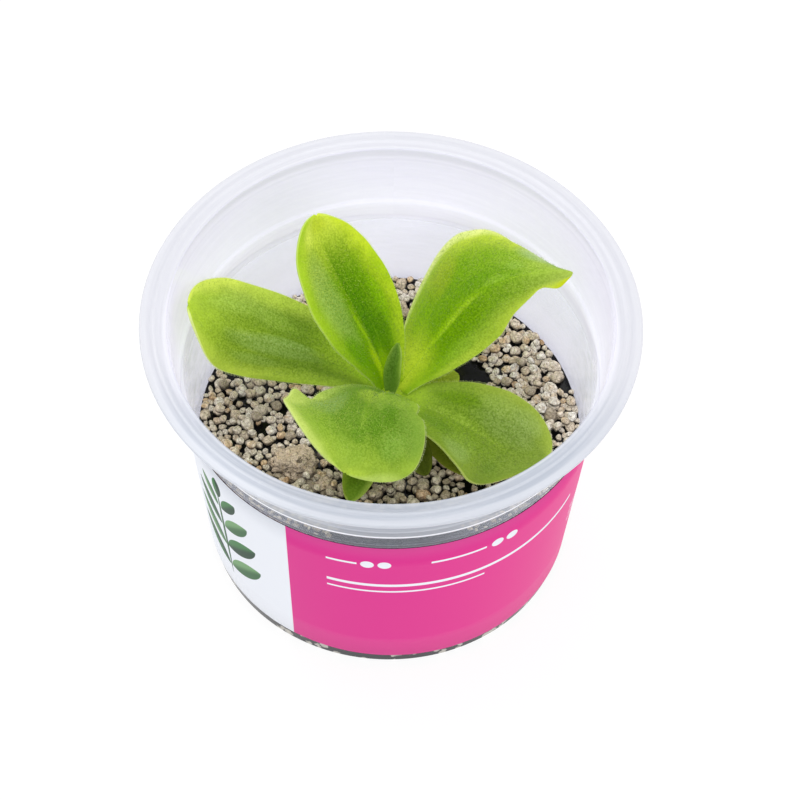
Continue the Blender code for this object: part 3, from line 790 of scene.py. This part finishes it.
# Patches of painted shade, painted highlight and sheen, and some of the leaf's own tone; the bright patch at
# the base of each leaf is painted light.
TONE_AND_LIGHT_PATCHES = {                     # along, across, reach along and across, strength, colour
    "leaf_left": [(0.0, -0.4, 0.3, 1.1, 0.95, (180, 210, 60)),
        (0.42, 0.12, 0.26, 0.26, 0.5, (160, 184, 112)), (0.5, -0.55, 0.2, 0.3, 0.3, (168, 196, 90)),
        (0.24, 0.8, 0.22, 0.4, 0.35, (170, 200, 66)), (0.34, -0.08, 0.14, 0.09, 0.45, (156, 184, 104)),
        (0.38, -0.38, 0.12, 0.18, 0.5, (150, 178, 70)), (0.62, -0.42, 0.16, 0.2, 0.4, (170, 198, 86)),
        (0.38, -0.86, 0.18, 0.24, 0.6, (164, 190, 66)), (0.56, 0.22, 0.14, 0.16, 0.45, (112, 144, 40)),
        (0.46, 0.52, 0.14, 0.16, 0.4, (144, 174, 82)), (0.34, 0.97, 0.16, 0.14, 0.6, (136, 164, 48))],
    "leaf_back_left": [(0.0, -0.1, 0.15, 0.7, 0.75, (168, 204, 20)),
        (0.46, 0.48, 0.3, 0.4, 0.42, (168, 192, 112)), (0.12, -0.95, 0.16, 0.4, 0.5, (180, 206, 44)),
        (0.82, 0.5, 0.14, 0.3, 0.5, (218, 232, 96)), (0.18, -0.34, 0.11, 0.26, 0.65, (72, 116, 0)),
        (0.2, 0.66, 0.12, 0.26, 0.8, (98, 150, 4)), (0.24, -0.16, 0.1, 0.14, 0.6, (72, 116, 0)),
        (0.3, -0.55, 0.12, 0.18, 0.5, (136, 186, 10)), (0.88, 0.05, 0.13, 0.6, 0.7, (178, 196, 42)),
        (0.1, 0.2, 0.1, 0.22, 0.7, (178, 206, 24)), (0.4, -0.92, 0.14, 0.25, 0.5, (148, 188, 20)),
        (0.24, 0.14, 0.14, 0.08, 0.6, (160, 198, 24))],
    "leaf_back_right": [(0.0, 0.1, 0.2, 1.0, 0.9, (188, 208, 52)),
        (0.74, 0.6, 0.16, 0.32, 0.6, (170, 192, 146)), (0.89, -1.0, 0.11, 0.34, 1.0, (198, 210, 12)),
        (0.3, 1.0, 0.34, 0.2, 0.7, (232, 238, 160)), (0.5, 0.1, 0.18, 0.28, 0.6, (100, 146, 14)),
        (0.4, -0.75, 0.3, 0.4, 0.4, (156, 184, 66)), (0.27, 0.55, 0.1, 0.26, 0.5, (172, 184, 46)),
        (0.2, -0.95, 0.14, 0.25, 0.4, (200, 220, 80)), (0.86, 0.35, 0.12, 0.4, 0.5, (124, 160, 84)),
        (0.3, -0.03, 0.16, 0.06, 0.7, (180, 212, 52)), (0.5, 0.06, 0.07, 0.07, 0.5, (156, 194, 64)),
        (0.18, 0.5, 0.09, 0.25, 0.5, (126, 170, 8)), (0.4, 0.17, 0.11, 0.12, 0.5, (100, 148, 4)),
        (0.59, 0.24, 0.05, 0.12, 0.4, (156, 192, 80)), (0.22, -0.6, 0.1, 0.25, 0.4, (152, 190, 54))],
    "leaf_front": [(0.18, 0.05, 0.2, 0.46, 0.9, (174, 198, 74)),
        (0.36, 0.22, 0.1, 0.22, 0.35, (160, 186, 76)), (0.42, -0.5, 0.2, 0.26, 0.6, (142, 168, 96)),
        (0.48, 0.8, 0.2, 0.4, 0.6, (112, 146, 54)), (0.66, -0.62, 0.2, 0.34, 0.8, (134, 168, 48)),
        (0.8, -0.1, 0.12, 0.4, 0.3, (146, 182, 62)), (0.9, 1.0, 0.18, 0.5, 0.8, (198, 220, 110)),
        (0.92, -0.4, 0.08, 0.3, 0.5, (150, 182, 58)), (0.45, 0.36, 0.09, 0.18, 0.8, (88, 130, 22)),
        (0.55, 0.18, 0.08, 0.15, 0.8, (90, 132, 24)), (0.64, -0.02, 0.08, 0.14, 0.7, (96, 138, 30)),
        (0.62, 0.52, 0.12, 0.24, 0.5, (138, 174, 70)), (0.32, 0.5, 0.07, 0.36, 0.35, (172, 198, 78)),
        (0.5, 0.0, 0.14, 0.07, 0.25, (146, 180, 58)), (0.52, 0.82, 0.14, 0.2, 0.4, (112, 148, 50))],
    "leaf_front_right": [(0.02, 0.2, 0.15, 1.0, 0.75, (160, 190, 52)),
        (0.52, 0.38, 0.26, 0.38, 0.22, (154, 172, 118)), (0.68, -0.8, 0.2, 0.34, 0.4, (92, 120, 38)),
        (0.36, -0.6, 0.12, 0.4, 0.25, (150, 178, 76)), (0.2, 0.75, 0.14, 0.34, 0.4, (110, 140, 30)),
        (0.24, 0.52, 0.14, 0.24, 0.7, (100, 136, 4)), (0.24, 0.08, 0.22, 0.11, 0.5, (156, 184, 66)),
        (0.21, -0.44, 0.1, 0.24, 0.5, (90, 126, 32)), (0.36, -0.74, 0.12, 0.24, 0.35, (154, 178, 108)),
        (0.62, -0.55, 0.09, 0.2, 0.5, (96, 126, 38)), (0.43, 0.66, 0.14, 0.26, 0.5, (156, 180, 88)),
        (0.6, 0.72, 0.14, 0.24, 0.4, (152, 176, 102))],
}
CREASES = {                     # side of the midrib that lies in shade, strength, colour
    "leaf_back_left": (-1.0, 0.85, (78, 128, 2)),
    "leaf_back_right": (-1.0, 0.2, (98, 148, 0)),
    "leaf_left": (1.0, 0.3, (104, 134, 34)),
    "leaf_old_front": (-1.0, 0.6, (70, 94, 8)),
}
# Painted glint of the sessile glands, as pale bluish spots.
GLAND_GLINT = (1.40, 1.30, 2.0, 1.0)   # what the light of the skin is multiplied by
DARK_FLECK = (0.64, 0.71, 0.45, 1.0)


def leaf_finish(name):
    """Upper and lower side of one leaf."""
    near, far, right, left, rim, rib, (start, end) = SKIN[name]
    # The skin glows with its own colour: painted light for light that comes through the leaf.
    recipe = Recipe(name + " skin", specular_ior_level=0.06, emission_strength=0.27)
    outward, cross_share = recipe.sheet("blade")
    side = cross_share * 2.0 - 1.0
    across = abs(side)
    mottle = recipe.noise(260.0, 3.0)
    speckle = recipe.cells(2300.0)
    fleck = recipe.noise(2300.0)
    margin = side.rise(-0.2, 0.2).blend(right, left)
    edge = (across + (mottle - 0.5) * 0.12).rise(0.44, 1.0) * outward.rise(0.08, 0.45, 0.25, 1.0)
    middle = across.rise(0.10, 0.0) * outward.rise(0.75, 0.2)
    color = layered((outward + (mottle - 0.5) * 0.11).rise(start, end).blend(near, far),
                    (edge * 0.92, margin), (middle * 0.8, rib))
    for along_leaf, crossing, reach, spread, strength, patch in TONE_AND_LIGHT_PATCHES.get(name, []):
        away = ((outward - along_leaf) / reach) ** 2.0 + ((side - crossing) / spread) ** 2.0
        color = away.rise(1.0, 0.0, 0.0, strength).blend(color, patch)
    if name in CREASES:
        shaded, strength, dark = CREASES[name]
        beside = (side * shaded).rise(-0.02, 0.03) * (side * shaded).rise(0.60, 0.05)
        beside = beside * outward.rise(0.85, 0.35) * outward.rise(0.10, 0.22)
        color = (beside * strength).blend(color, dark)
    veins = recipe.noise(1.0, 2.0, recipe.vector(outward * 2.5, side * 22.0, 0.0))
    color = layered(color, (veins.rise(0.55, 0.75) * 0.12, margin), (mottle.rise(0.6, 0.35) * 0.14, near))
    velvet = (1.0 - edge * 0.75) * outward.rise(0.55, 0.95, 1.0, 0.3) * outward.rise(0.02, 0.28, 0.3, 1.0)
    # Pale spots of painted glint where the glands are.
    color = (speckle.rise(0.42, 0.08) * velvet * 0.8).blend(color, GLAND_GLINT, "MULTIPLY")
    color = (fleck.rise(0.60, 0.36) * velvet).blend(color, DARK_FLECK, "MULTIPLY")
    color = (across.rise(0.97, 0.99) * outward.rise(0.3, 0.8, 0.3, 0.65)).blend(color, rim)
    return recipe.finish(base_color=color, emission_color=color, roughness=0.5 + (fleck - 0.5) * 0.2,
                         normal=recipe.bump(speckle * -0.6 + fleck * 0.7 + veins * 0.5, 0.08))


for name in LEAVES:
    shape = blade_mesh(name, *(LARGE_GRID if name in LARGE_LEAVES else SMALL_GRID))
    slot = "old_leaf_green" if "old" in name else "leaf_green"
    item = add_piece(name.replace("leaf", "blade"), shape, [leaf_finish(name)], [name])
    thickness = item.modifiers.new("thickness", "SOLIDIFY")
    thickness.thickness = BLADE_THICK * MM
    thickness.offset = 0.0
    smooth = item.modifiers.new("smooth", "SUBSURF")
    smooth.levels = smooth.render_levels = 1

# %% [markdown]
# ## Stalked glands
# What makes the leaf look like velvet is thousands of glands, each a hair with a drop of slime on its end.
# One gland is a three-sided cone with an eight-sided drop. It is doubled again and again until there are
# enough, and each copy is then laid on its own spot, upright on the skin or pointing out of the margin.

# %% One gland, many times
GLAND_EVERY = 0.25              # square mm of skin for each gland
FRINGE_EVERY = 0.18             # mm of margin for each hair
GLAND_TRIALS = 60000
SKIN_SPAN = (0.97, 1.96)        # the part of the blade that is strewn, along and across it
SKIN_START = (0.02, -0.98)
SUNK = 0.03                     # mm that a gland's foot stands in the skin
HEIGHTS, FRINGE_HEIGHTS = (0.24, 0.36), (0.24, 0.42)  # mm
THIN_SHARE = 0.4                # how many glands stay near the base, the tip and the margins
FRINGE_STEPS = 900


def gland_template():
    """One gland of unit height, standing on the origin."""
    bm = bmesh.new()
    stalk = bmesh.ops.create_cone(bm, cap_ends=False, segments=3, radius1=0.13, radius2=0.06, depth=0.8)
    bmesh.ops.translate(bm, verts=stalk["verts"], vec=(0.0, 0.0, 0.4))
    drop = bmesh.ops.create_uvsphere(bm, u_segments=4, v_segments=2, radius=0.2)
    bmesh.ops.translate(bm, verts=drop["verts"], vec=(0.0, 0.0, 0.8))
    return mesh_from(bm, "one gland")


def copies_of(template, count):
    """One bmesh with the template in it again and again, made by doubling."""
    stock = [template]
    while 2 ** len(stock) <= count:
        bm = bmesh.new()
        bm.from_mesh(stock[-1])
        bm.from_mesh(stock[-1])
        stock.append(mesh_from(bm, "glands"))
    bm = bmesh.new()
    for power, mesh in enumerate(stock):
        if count >> power & 1:
            bm.from_mesh(mesh)
    for mesh in stock[1:]:
        bpy.data.meshes.remove(mesh)
    return bm


def frames_on(name, t, across):
    """Points; the directions along the leaf, across it and out of its upper side; and how many square mm
    one whole step along times one across would cover there."""
    def change(dt, da):
        further = surface(name, np.clip(t + dt, 0, 1), np.clip(across + da, -1, 1))
        return further - surface(name, np.clip(t - dt, 0, 1), np.clip(across - da, -1, 1))

    small = 0.004
    here, ahead, aside = surface(name, t, across), change(small, 0.0), change(0.0, small)
    up = np.cross(ahead, aside)
    unit = [v / (np.linalg.norm(v, axis=1)[:, None] + 1e-12) for v in (ahead, aside, up)]
    return here, unit, np.linalg.norm(up, axis=1) / (4 * small * small)


def gland_spots(name, rng):
    """Root points, pointing directions and heights in mm of all the glands of one leaf, those of its upper
    side first, and how many those are."""
    trial = rng.random((GLAND_TRIALS, 2)) * SKIN_SPAN + SKIN_START
    area = frames_on(name, *trial[:1500].T)[2]
    count = int(area.mean() * SKIN_SPAN[0] * SKIN_SPAN[1] / GLAND_EVERY)
    keep = trial[:min(count * 3, len(trial))]
    room = frames_on(name, *keep.T)[2]
    keep = keep[rng.random(len(keep)) < room / np.quantile(room, 0.98)][:count]
    thin = (keep[:, 0] > 0.82) | (abs(keep[:, 1]) > 0.8) | (keep[:, 0] < 0.16)
    keep = keep[~thin | (rng.random(len(keep)) < THIN_SHARE)]
    here, (_, _, up), _ = frames_on(name, *keep.T)
    lean = up + 0.35 * rng.normal(size=up.shape)
    roots = here + up * (0.5 * BLADE_THICK - SUNK)
    heights = rng.uniform(*HEIGHTS, len(roots))
    edge_t = np.linspace(0.03, 0.985, FRINGE_STEPS)
    for side in (-1.0, 1.0):
        line, (_, aside, up), _ = frames_on(name, edge_t, np.full_like(edge_t, side))
        steps = np.concatenate([[0.0], np.cumsum(np.linalg.norm(np.diff(line, axis=0), axis=1))])
        marks = np.arange(0.1, steps[-1], FRINGE_EVERY)
        marks = marks + rng.uniform(-0.07, 0.07, len(marks))
        pick = np.searchsorted(steps, np.clip(marks, 0, steps[-1] * 0.999))
        out = side * aside[pick] + 0.5 * up[pick] + 0.3 * rng.normal(size=(len(pick), 3))
        roots = np.vstack([roots, line[pick]])
        lean = np.vstack([lean, out])
        heights = np.concatenate([heights, rng.uniform(*FRINGE_HEIGHTS, len(pick))])
    return roots, lean / np.linalg.norm(lean, axis=1)[:, None], heights, len(keep)


def gland_mesh(name, template):
    rng = np.random.default_rng(len(name) * 7 + 3)
    roots, lean, heights, on_skin = gland_spots(name, rng)
    bm = copies_of(template, len(roots))
    for index, face in enumerate(bm.faces):
        face.material_index = int(index >= on_skin * len(template.polygons))
    corners = np.empty(len(template.vertices) * 3)
    template.vertices.foreach_get("co", corners)
    corners = corners.reshape(-1, 3)
    across = np.cross(lean, [0.31, 0.22, 0.92])
    across /= np.linalg.norm(across, axis=1)[:, None]
    third = np.cross(lean, across)
    width = np.where(np.arange(len(heights)) < on_skin, heights, 0.6 * heights)
    placed = roots[:, None]
    for axis, direction, size in ((0, across, width), (1, third, width), (2, lean, heights)):
        placed = placed + corners[None, :, axis, None] * direction[:, None] * size[:, None, None]
    for vert, point in zip(bm.verts, placed.reshape(-1, 3) * MM):
        vert.co = point
    return bm


def slime(name, root, tip, length):
    """The drops take the colour of the skin under them, which grows paler away from the crown. They glow
    a little of that colour, as painted light.
    """
    recipe = Recipe(name, roughness=0.22, specular_ior_level=0.6, coat_weight=0.3, coat_roughness=0.05,
                    emission_strength=0.14)
    x, y, z = recipe.millimetres()
    away = ((x - CROWN[0]) ** 2.0 + (y - CROWN[1]) ** 2.0 + (z - ROOT_LEVEL) ** 2.0).math("SQRT")
    color = layered(away.rise(0.3 * length, 0.9 * length).blend(root, tip),
                    (recipe.noise(900.0) * 0.35, (206, 222, 136)))
    return recipe.finish(base_color=color, emission_color=color)


one_gland = gland_template()
margin_hairs = slime("margin hairs", (184, 204, 112), (222, 230, 176), 40.0)
for name in LARGE_LEAVES:
    drops = slime(name + " glands", *SKIN[name][:2], LEAVES[name]["length"])
    shape = gland_mesh(name, one_gland)
    add_piece(name.replace("leaf", "glands"), shape, [drops, margin_hairs])

# %% [markdown]
# ## Pumice grains
# The grains are rounded crumbs of about 2 mm, cream to grey, a few of them rusty. Black gel shows between
# them and in a few bare places. Each grain is one of fourteen lumpy shapes, turned and scaled at random,
# because no one can pick out a repeat among so many. Places are drawn one by one and kept only where no
# other grain lies too near. The largest come first, so the small ones fill what is left between them.

# %% Grain shapes
GRAIN_SHAPES = 14
TINT_LAYER = "tint"


def grain_shape(seed):
    """A lumpy crumb about 1 m in radius, to be scaled down."""
    rng = random.Random(seed)
    bm = bmesh.new()
    bmesh.ops.create_icosphere(bm, subdivisions=2, radius=1.0)
    shift = Vector([rng.uniform(0, 50) for _ in range(3)])
    facets = [Vector([rng.gauss(0, 1) for _ in range(3)]).normalized() for _ in range(7)]
    for vert in bm.verts:
        lump = noise.noise(vert.co * 1.2 + shift) * 0.5 + noise.noise(vert.co * 3.1 + shift) * 0.22
        vert.co *= 1.0 + lump
        for facet in facets:
            vert.co -= max(0.0, vert.co.dot(facet) - 0.80) * facet
    bmesh.ops.scale(bm, verts=bm.verts, vec=Vector((1.0, rng.uniform(0.78, 0.98), rng.uniform(0.72, 0.95))))
    return mesh_from(bm, f"grain shape {seed}")


grain_shapes = [grain_shape(seed) for seed in range(GRAIN_SHAPES)]
print(len(grain_shapes), "grain shapes of", len(grain_shapes[0].polygons), "faces")

# %% Strew the grains
BARE_PLACES = [                 # centre x, y, half sizes in mm and turn in degrees
    (-32.0, 12.4, 3.6, 1.3, -14.0), (15.6, 11.6, 5.0, 6.4, -24.0), (23.6, 8.4, 4.2, 1.5, -22.0),
    (29.6, 2.6, 3.4, 0.8, -58.0), (36.4, 11.9, 1.5, 1.9, 0.0), (-15.4, -6.4, 1.6, 4.4, 12.0),
    (-26.4, -1.2, 2.6, 1.1, 60.0), (2.5, 27.0, 1.6, 1.2, 0.0), (-21.5, 3.5, 2.6, 1.3, 20.0),
    (24.6, -11.8, 1.4, 2.6, -30.0), (-8.0, -21.5, 1.9, 1.1, 0.0), (32.0, -3.5, 1.0, 2.4, 20.0),
    (3.5, -27.6, 15.5, 3.9, 0.0),
]
CLODS = [(-19.2, -10.4, 4.7), (-13.0, -15.4, 2.2)]  # x, y and radius in mm of fused lumps
CLOD_TONE = -0.5                # the tint of a clod; those of grains run from 0 to 1
GRAIN_SEED = 41
HEAPS = [                       # trials, smallest and largest radius, spacing, reach; height in radii
    (24000, 0.7, 2.0, 0.70, 40.1, 0.25), (2500, 0.9, 1.7, 0.85, 39.6, 1.35)]
TOP_FROM = -0.06                # only where this noise is higher do grains lie on top
UNEVEN = (-0.25, 0.35)          # mm that grains lie lower or higher than the rule says
WALL_CLEARANCE = 0.08           # mm between the grains and the wall
CROWN_CLEAR = 2.2               # mm round the crown's middle without a grain
FINE_FRONT = (-21.0, 0.62)      # before this y, radii shrink to this share
LOOSE_FRONT = (-20.0, 1.2)      # before this y, spacing grows by this factor


def bareness(x, y):
    """Distance of x, y in mm to the nearest bare place, in its half sizes: below 1 is inside it."""
    nearest = 9.0
    for cx, cy, half_x, half_y, turn in BARE_PLACES:
        c, s = math.cos(math.radians(turn)), math.sin(math.radians(turn))
        u = ((x - cx) * c + (y - cy) * s) / half_x
        v = ((y - cy) * c - (x - cx) * s) / half_y
        nearest = min(nearest, math.hypot(u, v))
    return nearest


def strewn(count, smallest, largest, spacing, reach, rng):
    """Places x, y and radii in mm of grains that keep a share of their radii apart.
    The largest are laid first, and smaller and smaller ones fill in between."""
    spots = np.zeros((0, 3))
    for trial in range(count):
        top = largest + (smallest - largest) * math.sqrt(trial / count)
        radius = smallest + (top - smallest) * rng.random() ** 0.9
        distance = (reach - radius) * math.sqrt(rng.random())
        angle = rng.uniform(0.0, math.tau)
        x, y = distance * math.cos(angle), distance * math.sin(angle)
        radius *= FINE_FRONT[1] if y < FINE_FRONT[0] else 1.0
        if bareness(x, y) < 1.0 or math.hypot(x - CROWN[0], y - CROWN[1]) < CROWN_CLEAR:
            continue
        if any(math.hypot(x - cx, y - cy) < 0.8 * size for cx, cy, size in CLODS):
            continue
        wide = spacing * (LOOSE_FRONT[1] if y < LOOSE_FRONT[0] else 1.0)
        apart = np.hypot(spots[:, 0] - x, spots[:, 1] - y) - wide * (spots[:, 2] + radius)
        if len(spots) == 0 or apart.min() > 0.0:
            spots = np.vstack([spots, (x, y, radius)])
    return spots


def add_clod(bm, layer, x, y, radius):
    """A lump of dust and crumbs that baked together: a finer sphere, roughened by three sizes of noise."""
    before = len(bm.verts)
    bmesh.ops.create_icosphere(bm, subdivisions=4, radius=1.0)
    bm.verts.ensure_lookup_table()
    level = gel_height(x, y) + 0.25 * radius
    for vert in bm.verts[before:]:
        where = vert.co * 1.6 + Vector((x, y, 0.0))
        rough = 0.40 * noise.noise(where) + 0.42 * abs(noise.noise(where * 1.7))
        out = vert.co * (0.9 + rough + 0.14 * noise.noise(where * 5.0)) * radius
        vert.co = Vector((x + out.x, y + out.y * 0.85, level + out.z * 0.62)) * MM
        vert[layer] = CLOD_TONE


def lowest_leaf():
    """Points of the leaves where they come near the bed, in mm."""
    t, across = [v.ravel() for v in np.meshgrid(np.linspace(0.1, 1.0, 60), np.linspace(-1.0, 1.0, 40))]
    points = np.vstack([surface(name, t, across) for name in LEAVES if name != "leaf_young"])
    return points[points[:, 2] < 37.0]


def grain_bed_mesh():
    rng = random.Random(GRAIN_SEED)
    leaf_points = lowest_leaf()
    heaps = [(strewn(*rule, rng), lift) for *rule, lift in HEAPS]
    print("grains below and on top:", [len(spots) for spots, _ in heaps])
    bm = bmesh.new()
    layer = bm.verts.layers.float.new(TINT_LAYER)
    for spots, lift in heaps:
        for x, y, radius in spots:
            if lift > 1.0 and noise.noise(Vector((x, y, 3.0)) * 0.16) < TOP_FROM:
                continue
            height = gel_height(x, y) + lift * radius + rng.uniform(*UNEVEN)
            near = leaf_points[np.hypot(leaf_points[:, 0] - x, leaf_points[:, 1] - y) < radius + 0.4]
            if len(near) and height + radius > near[:, 2].min() - 0.3:
                continue
            turn = Matrix.Rotation(rng.uniform(0, math.tau), 4, Vector((rng.random(), rng.random(), 1.0)))
            mesh = grain_shapes[rng.randrange(GRAIN_SHAPES)].copy()
            place = Matrix.Translation(Vector((x, y, height)) * MM)
            mesh.transform(place @ Matrix.Scale(radius * MM, 4) @ turn)
            tone = mesh.attributes.new(TINT_LAYER, "FLOAT", "POINT")
            tone.data.foreach_set("value", [rng.random()] * len(mesh.vertices))
            bm.from_mesh(mesh)
            bpy.data.meshes.remove(mesh)
    for clod in CLODS:
        add_clod(bm, layer, *clod)
    for vert in bm.verts:       # what would pass through the wall is pressed flat against it
        limit = (inner_wall(vert.co.z / MM) - WALL_CLEARANCE) * MM / vert.co.xy.length
        if limit < 1.0:
            vert.co.xy *= limit
    return bm


def pumice():
    """Paler towards the back right and browner in front. Painted shade darkens the sides and undersides of
    the grains, most in front, and the grains glow, as painted light, more towards the back right. Each
    grain's own tint makes a few of them ochre, rusty or grey, and tells the clods apart."""
    recipe = Recipe("pumice", roughness=1.0, specular_ior_level=0.03, emission_strength=0.36)
    x, y, _ = recipe.millimetres()
    own = recipe.node("Attribute", {"attribute_name": TINT_LAYER}, output="Fac")
    pores = recipe.noise(2200.0, 3.0, roughness=0.7)
    lumps = recipe.cells(850.0, "DISTANCE_TO_EDGE")
    blotch = recipe.noise(650.0, 3.0)
    paler_share = y.rise(-30.0, 6.0) * 0.7 + x.rise(4.0, 34.0) * 0.3 + (recipe.noise(45.0, 1.0) - 0.5) * 0.9
    paler_share = paler_share.rise(0.10, 0.95)
    clod = own.rise(0.0, -0.3)
    holes = clod * recipe.noise(420.0, 3.0, roughness=0.7).rise(0.44, 0.34)
    facing_up = recipe.parts(recipe.node("NewGeometry", output="Normal"))[2]
    color = layered(
        paler_share.blend(own.blend((178, 162, 132), (244, 234, 208)), own.blend((224, 206, 180), (255, 250, 242))),
        (abs(own - 0.80).rise(0.07, 0.04) * blotch.rise(0.35, 0.60, 0.3, 0.8), (222, 186, 138)),
        (own.rise(0.93, 0.96) * 0.9, blotch.rise(0.4, 0.62).blend((222, 192, 154), (184, 142, 98))),
        (own.rise(0.10, 0.05) * 0.6, (150, 142, 128)),
        (clod, blotch.blend((170, 148, 118), (236, 220, 196))),
        (holes * 0.8, (52, 44, 34)),
        (blotch.rise(0.52, 0.72) * 0.55, (206, 176, 136)),
        (lumps.rise(0.10, 0.0) * own.rise(-0.4, 0.0, 0.1, 0.45), (92, 78, 62)),
        (pores.rise(0.50, 0.36) * 0.55, (110, 96, 78)),
        # Painted shade on the sides and undersides of the grains.
        ((facing_up + paler_share * 0.22).rise(0.76, 0.02) * 0.82, (20, 18, 16)))
    # The glow is painted light, stronger where the bed is paler.
    glow = (0.45 + paler_share * 0.55).blend((0, 0, 0), color)
    return recipe.finish(base_color=color, emission_color=glow,
                         normal=recipe.bump(lumps.rise(0.0, 0.3) + pores * 0.5, 0.40))


add_piece("pumice_grains", grain_bed_mesh(), [pumice()], ["grain_bed"])

# %% [markdown]
# ## The crown
# Where the leaves meet, their pale bases wrap round one another into a short bud, so that neither gel nor
# grains can be seen between them. The CAD crown is a plain knob. This one is a sphere with five soft
# overlapping folds round it, drawn up to a blunt point.

# %% Crown
CROWN_RADIUS = 2.5              # mm
CROWN_LEVEL = 34.0
CROWN_STRETCH = 1.9             # mm of height for one of radius
ABOVE, BELOW = 1.35, 1.9        # the bud's upper and lower half are drawn out further


def crown_mesh():
    bm = bmesh.new()
    bmesh.ops.create_icosphere(bm, subdivisions=5, radius=1.0)
    for vert in bm.verts:
        turn = math.atan2(vert.co.y, vert.co.x) + 1.1 * vert.co.z
        fold = CROWN_RADIUS * (1.0 + 0.10 * abs(math.sin(2.5 * turn)) + 0.03 * noise.noise(vert.co * 4.0))
        height = CROWN_STRETCH * vert.co.z * (ABOVE if vert.co.z > 0.0 else BELOW)
        x, y = CROWN[0] + fold * vert.co.x, CROWN[1] + fold * vert.co.y
        vert.co = Vector((x, y, CROWN_LEVEL + height)) * MM
    return bm


def crown_skin():
    # The crown glows a little of its own colour: painted light.
    recipe = Recipe("crown", roughness=0.5, specular_ior_level=0.1, emission_strength=0.25)
    x, y, z = recipe.millimetres()
    fibre = recipe.noise(1.0, 3.0, recipe.vector(x * 1.5, y * 1.5, z * 0.3))
    color = fibre.blend((128, 160, 24), (172, 198, 56))
    return recipe.finish(base_color=color, emission_color=color, normal=recipe.bump(fibre, 0.05))


add_piece("crown_bud", crown_mesh(), [crown_skin()], ["crown"])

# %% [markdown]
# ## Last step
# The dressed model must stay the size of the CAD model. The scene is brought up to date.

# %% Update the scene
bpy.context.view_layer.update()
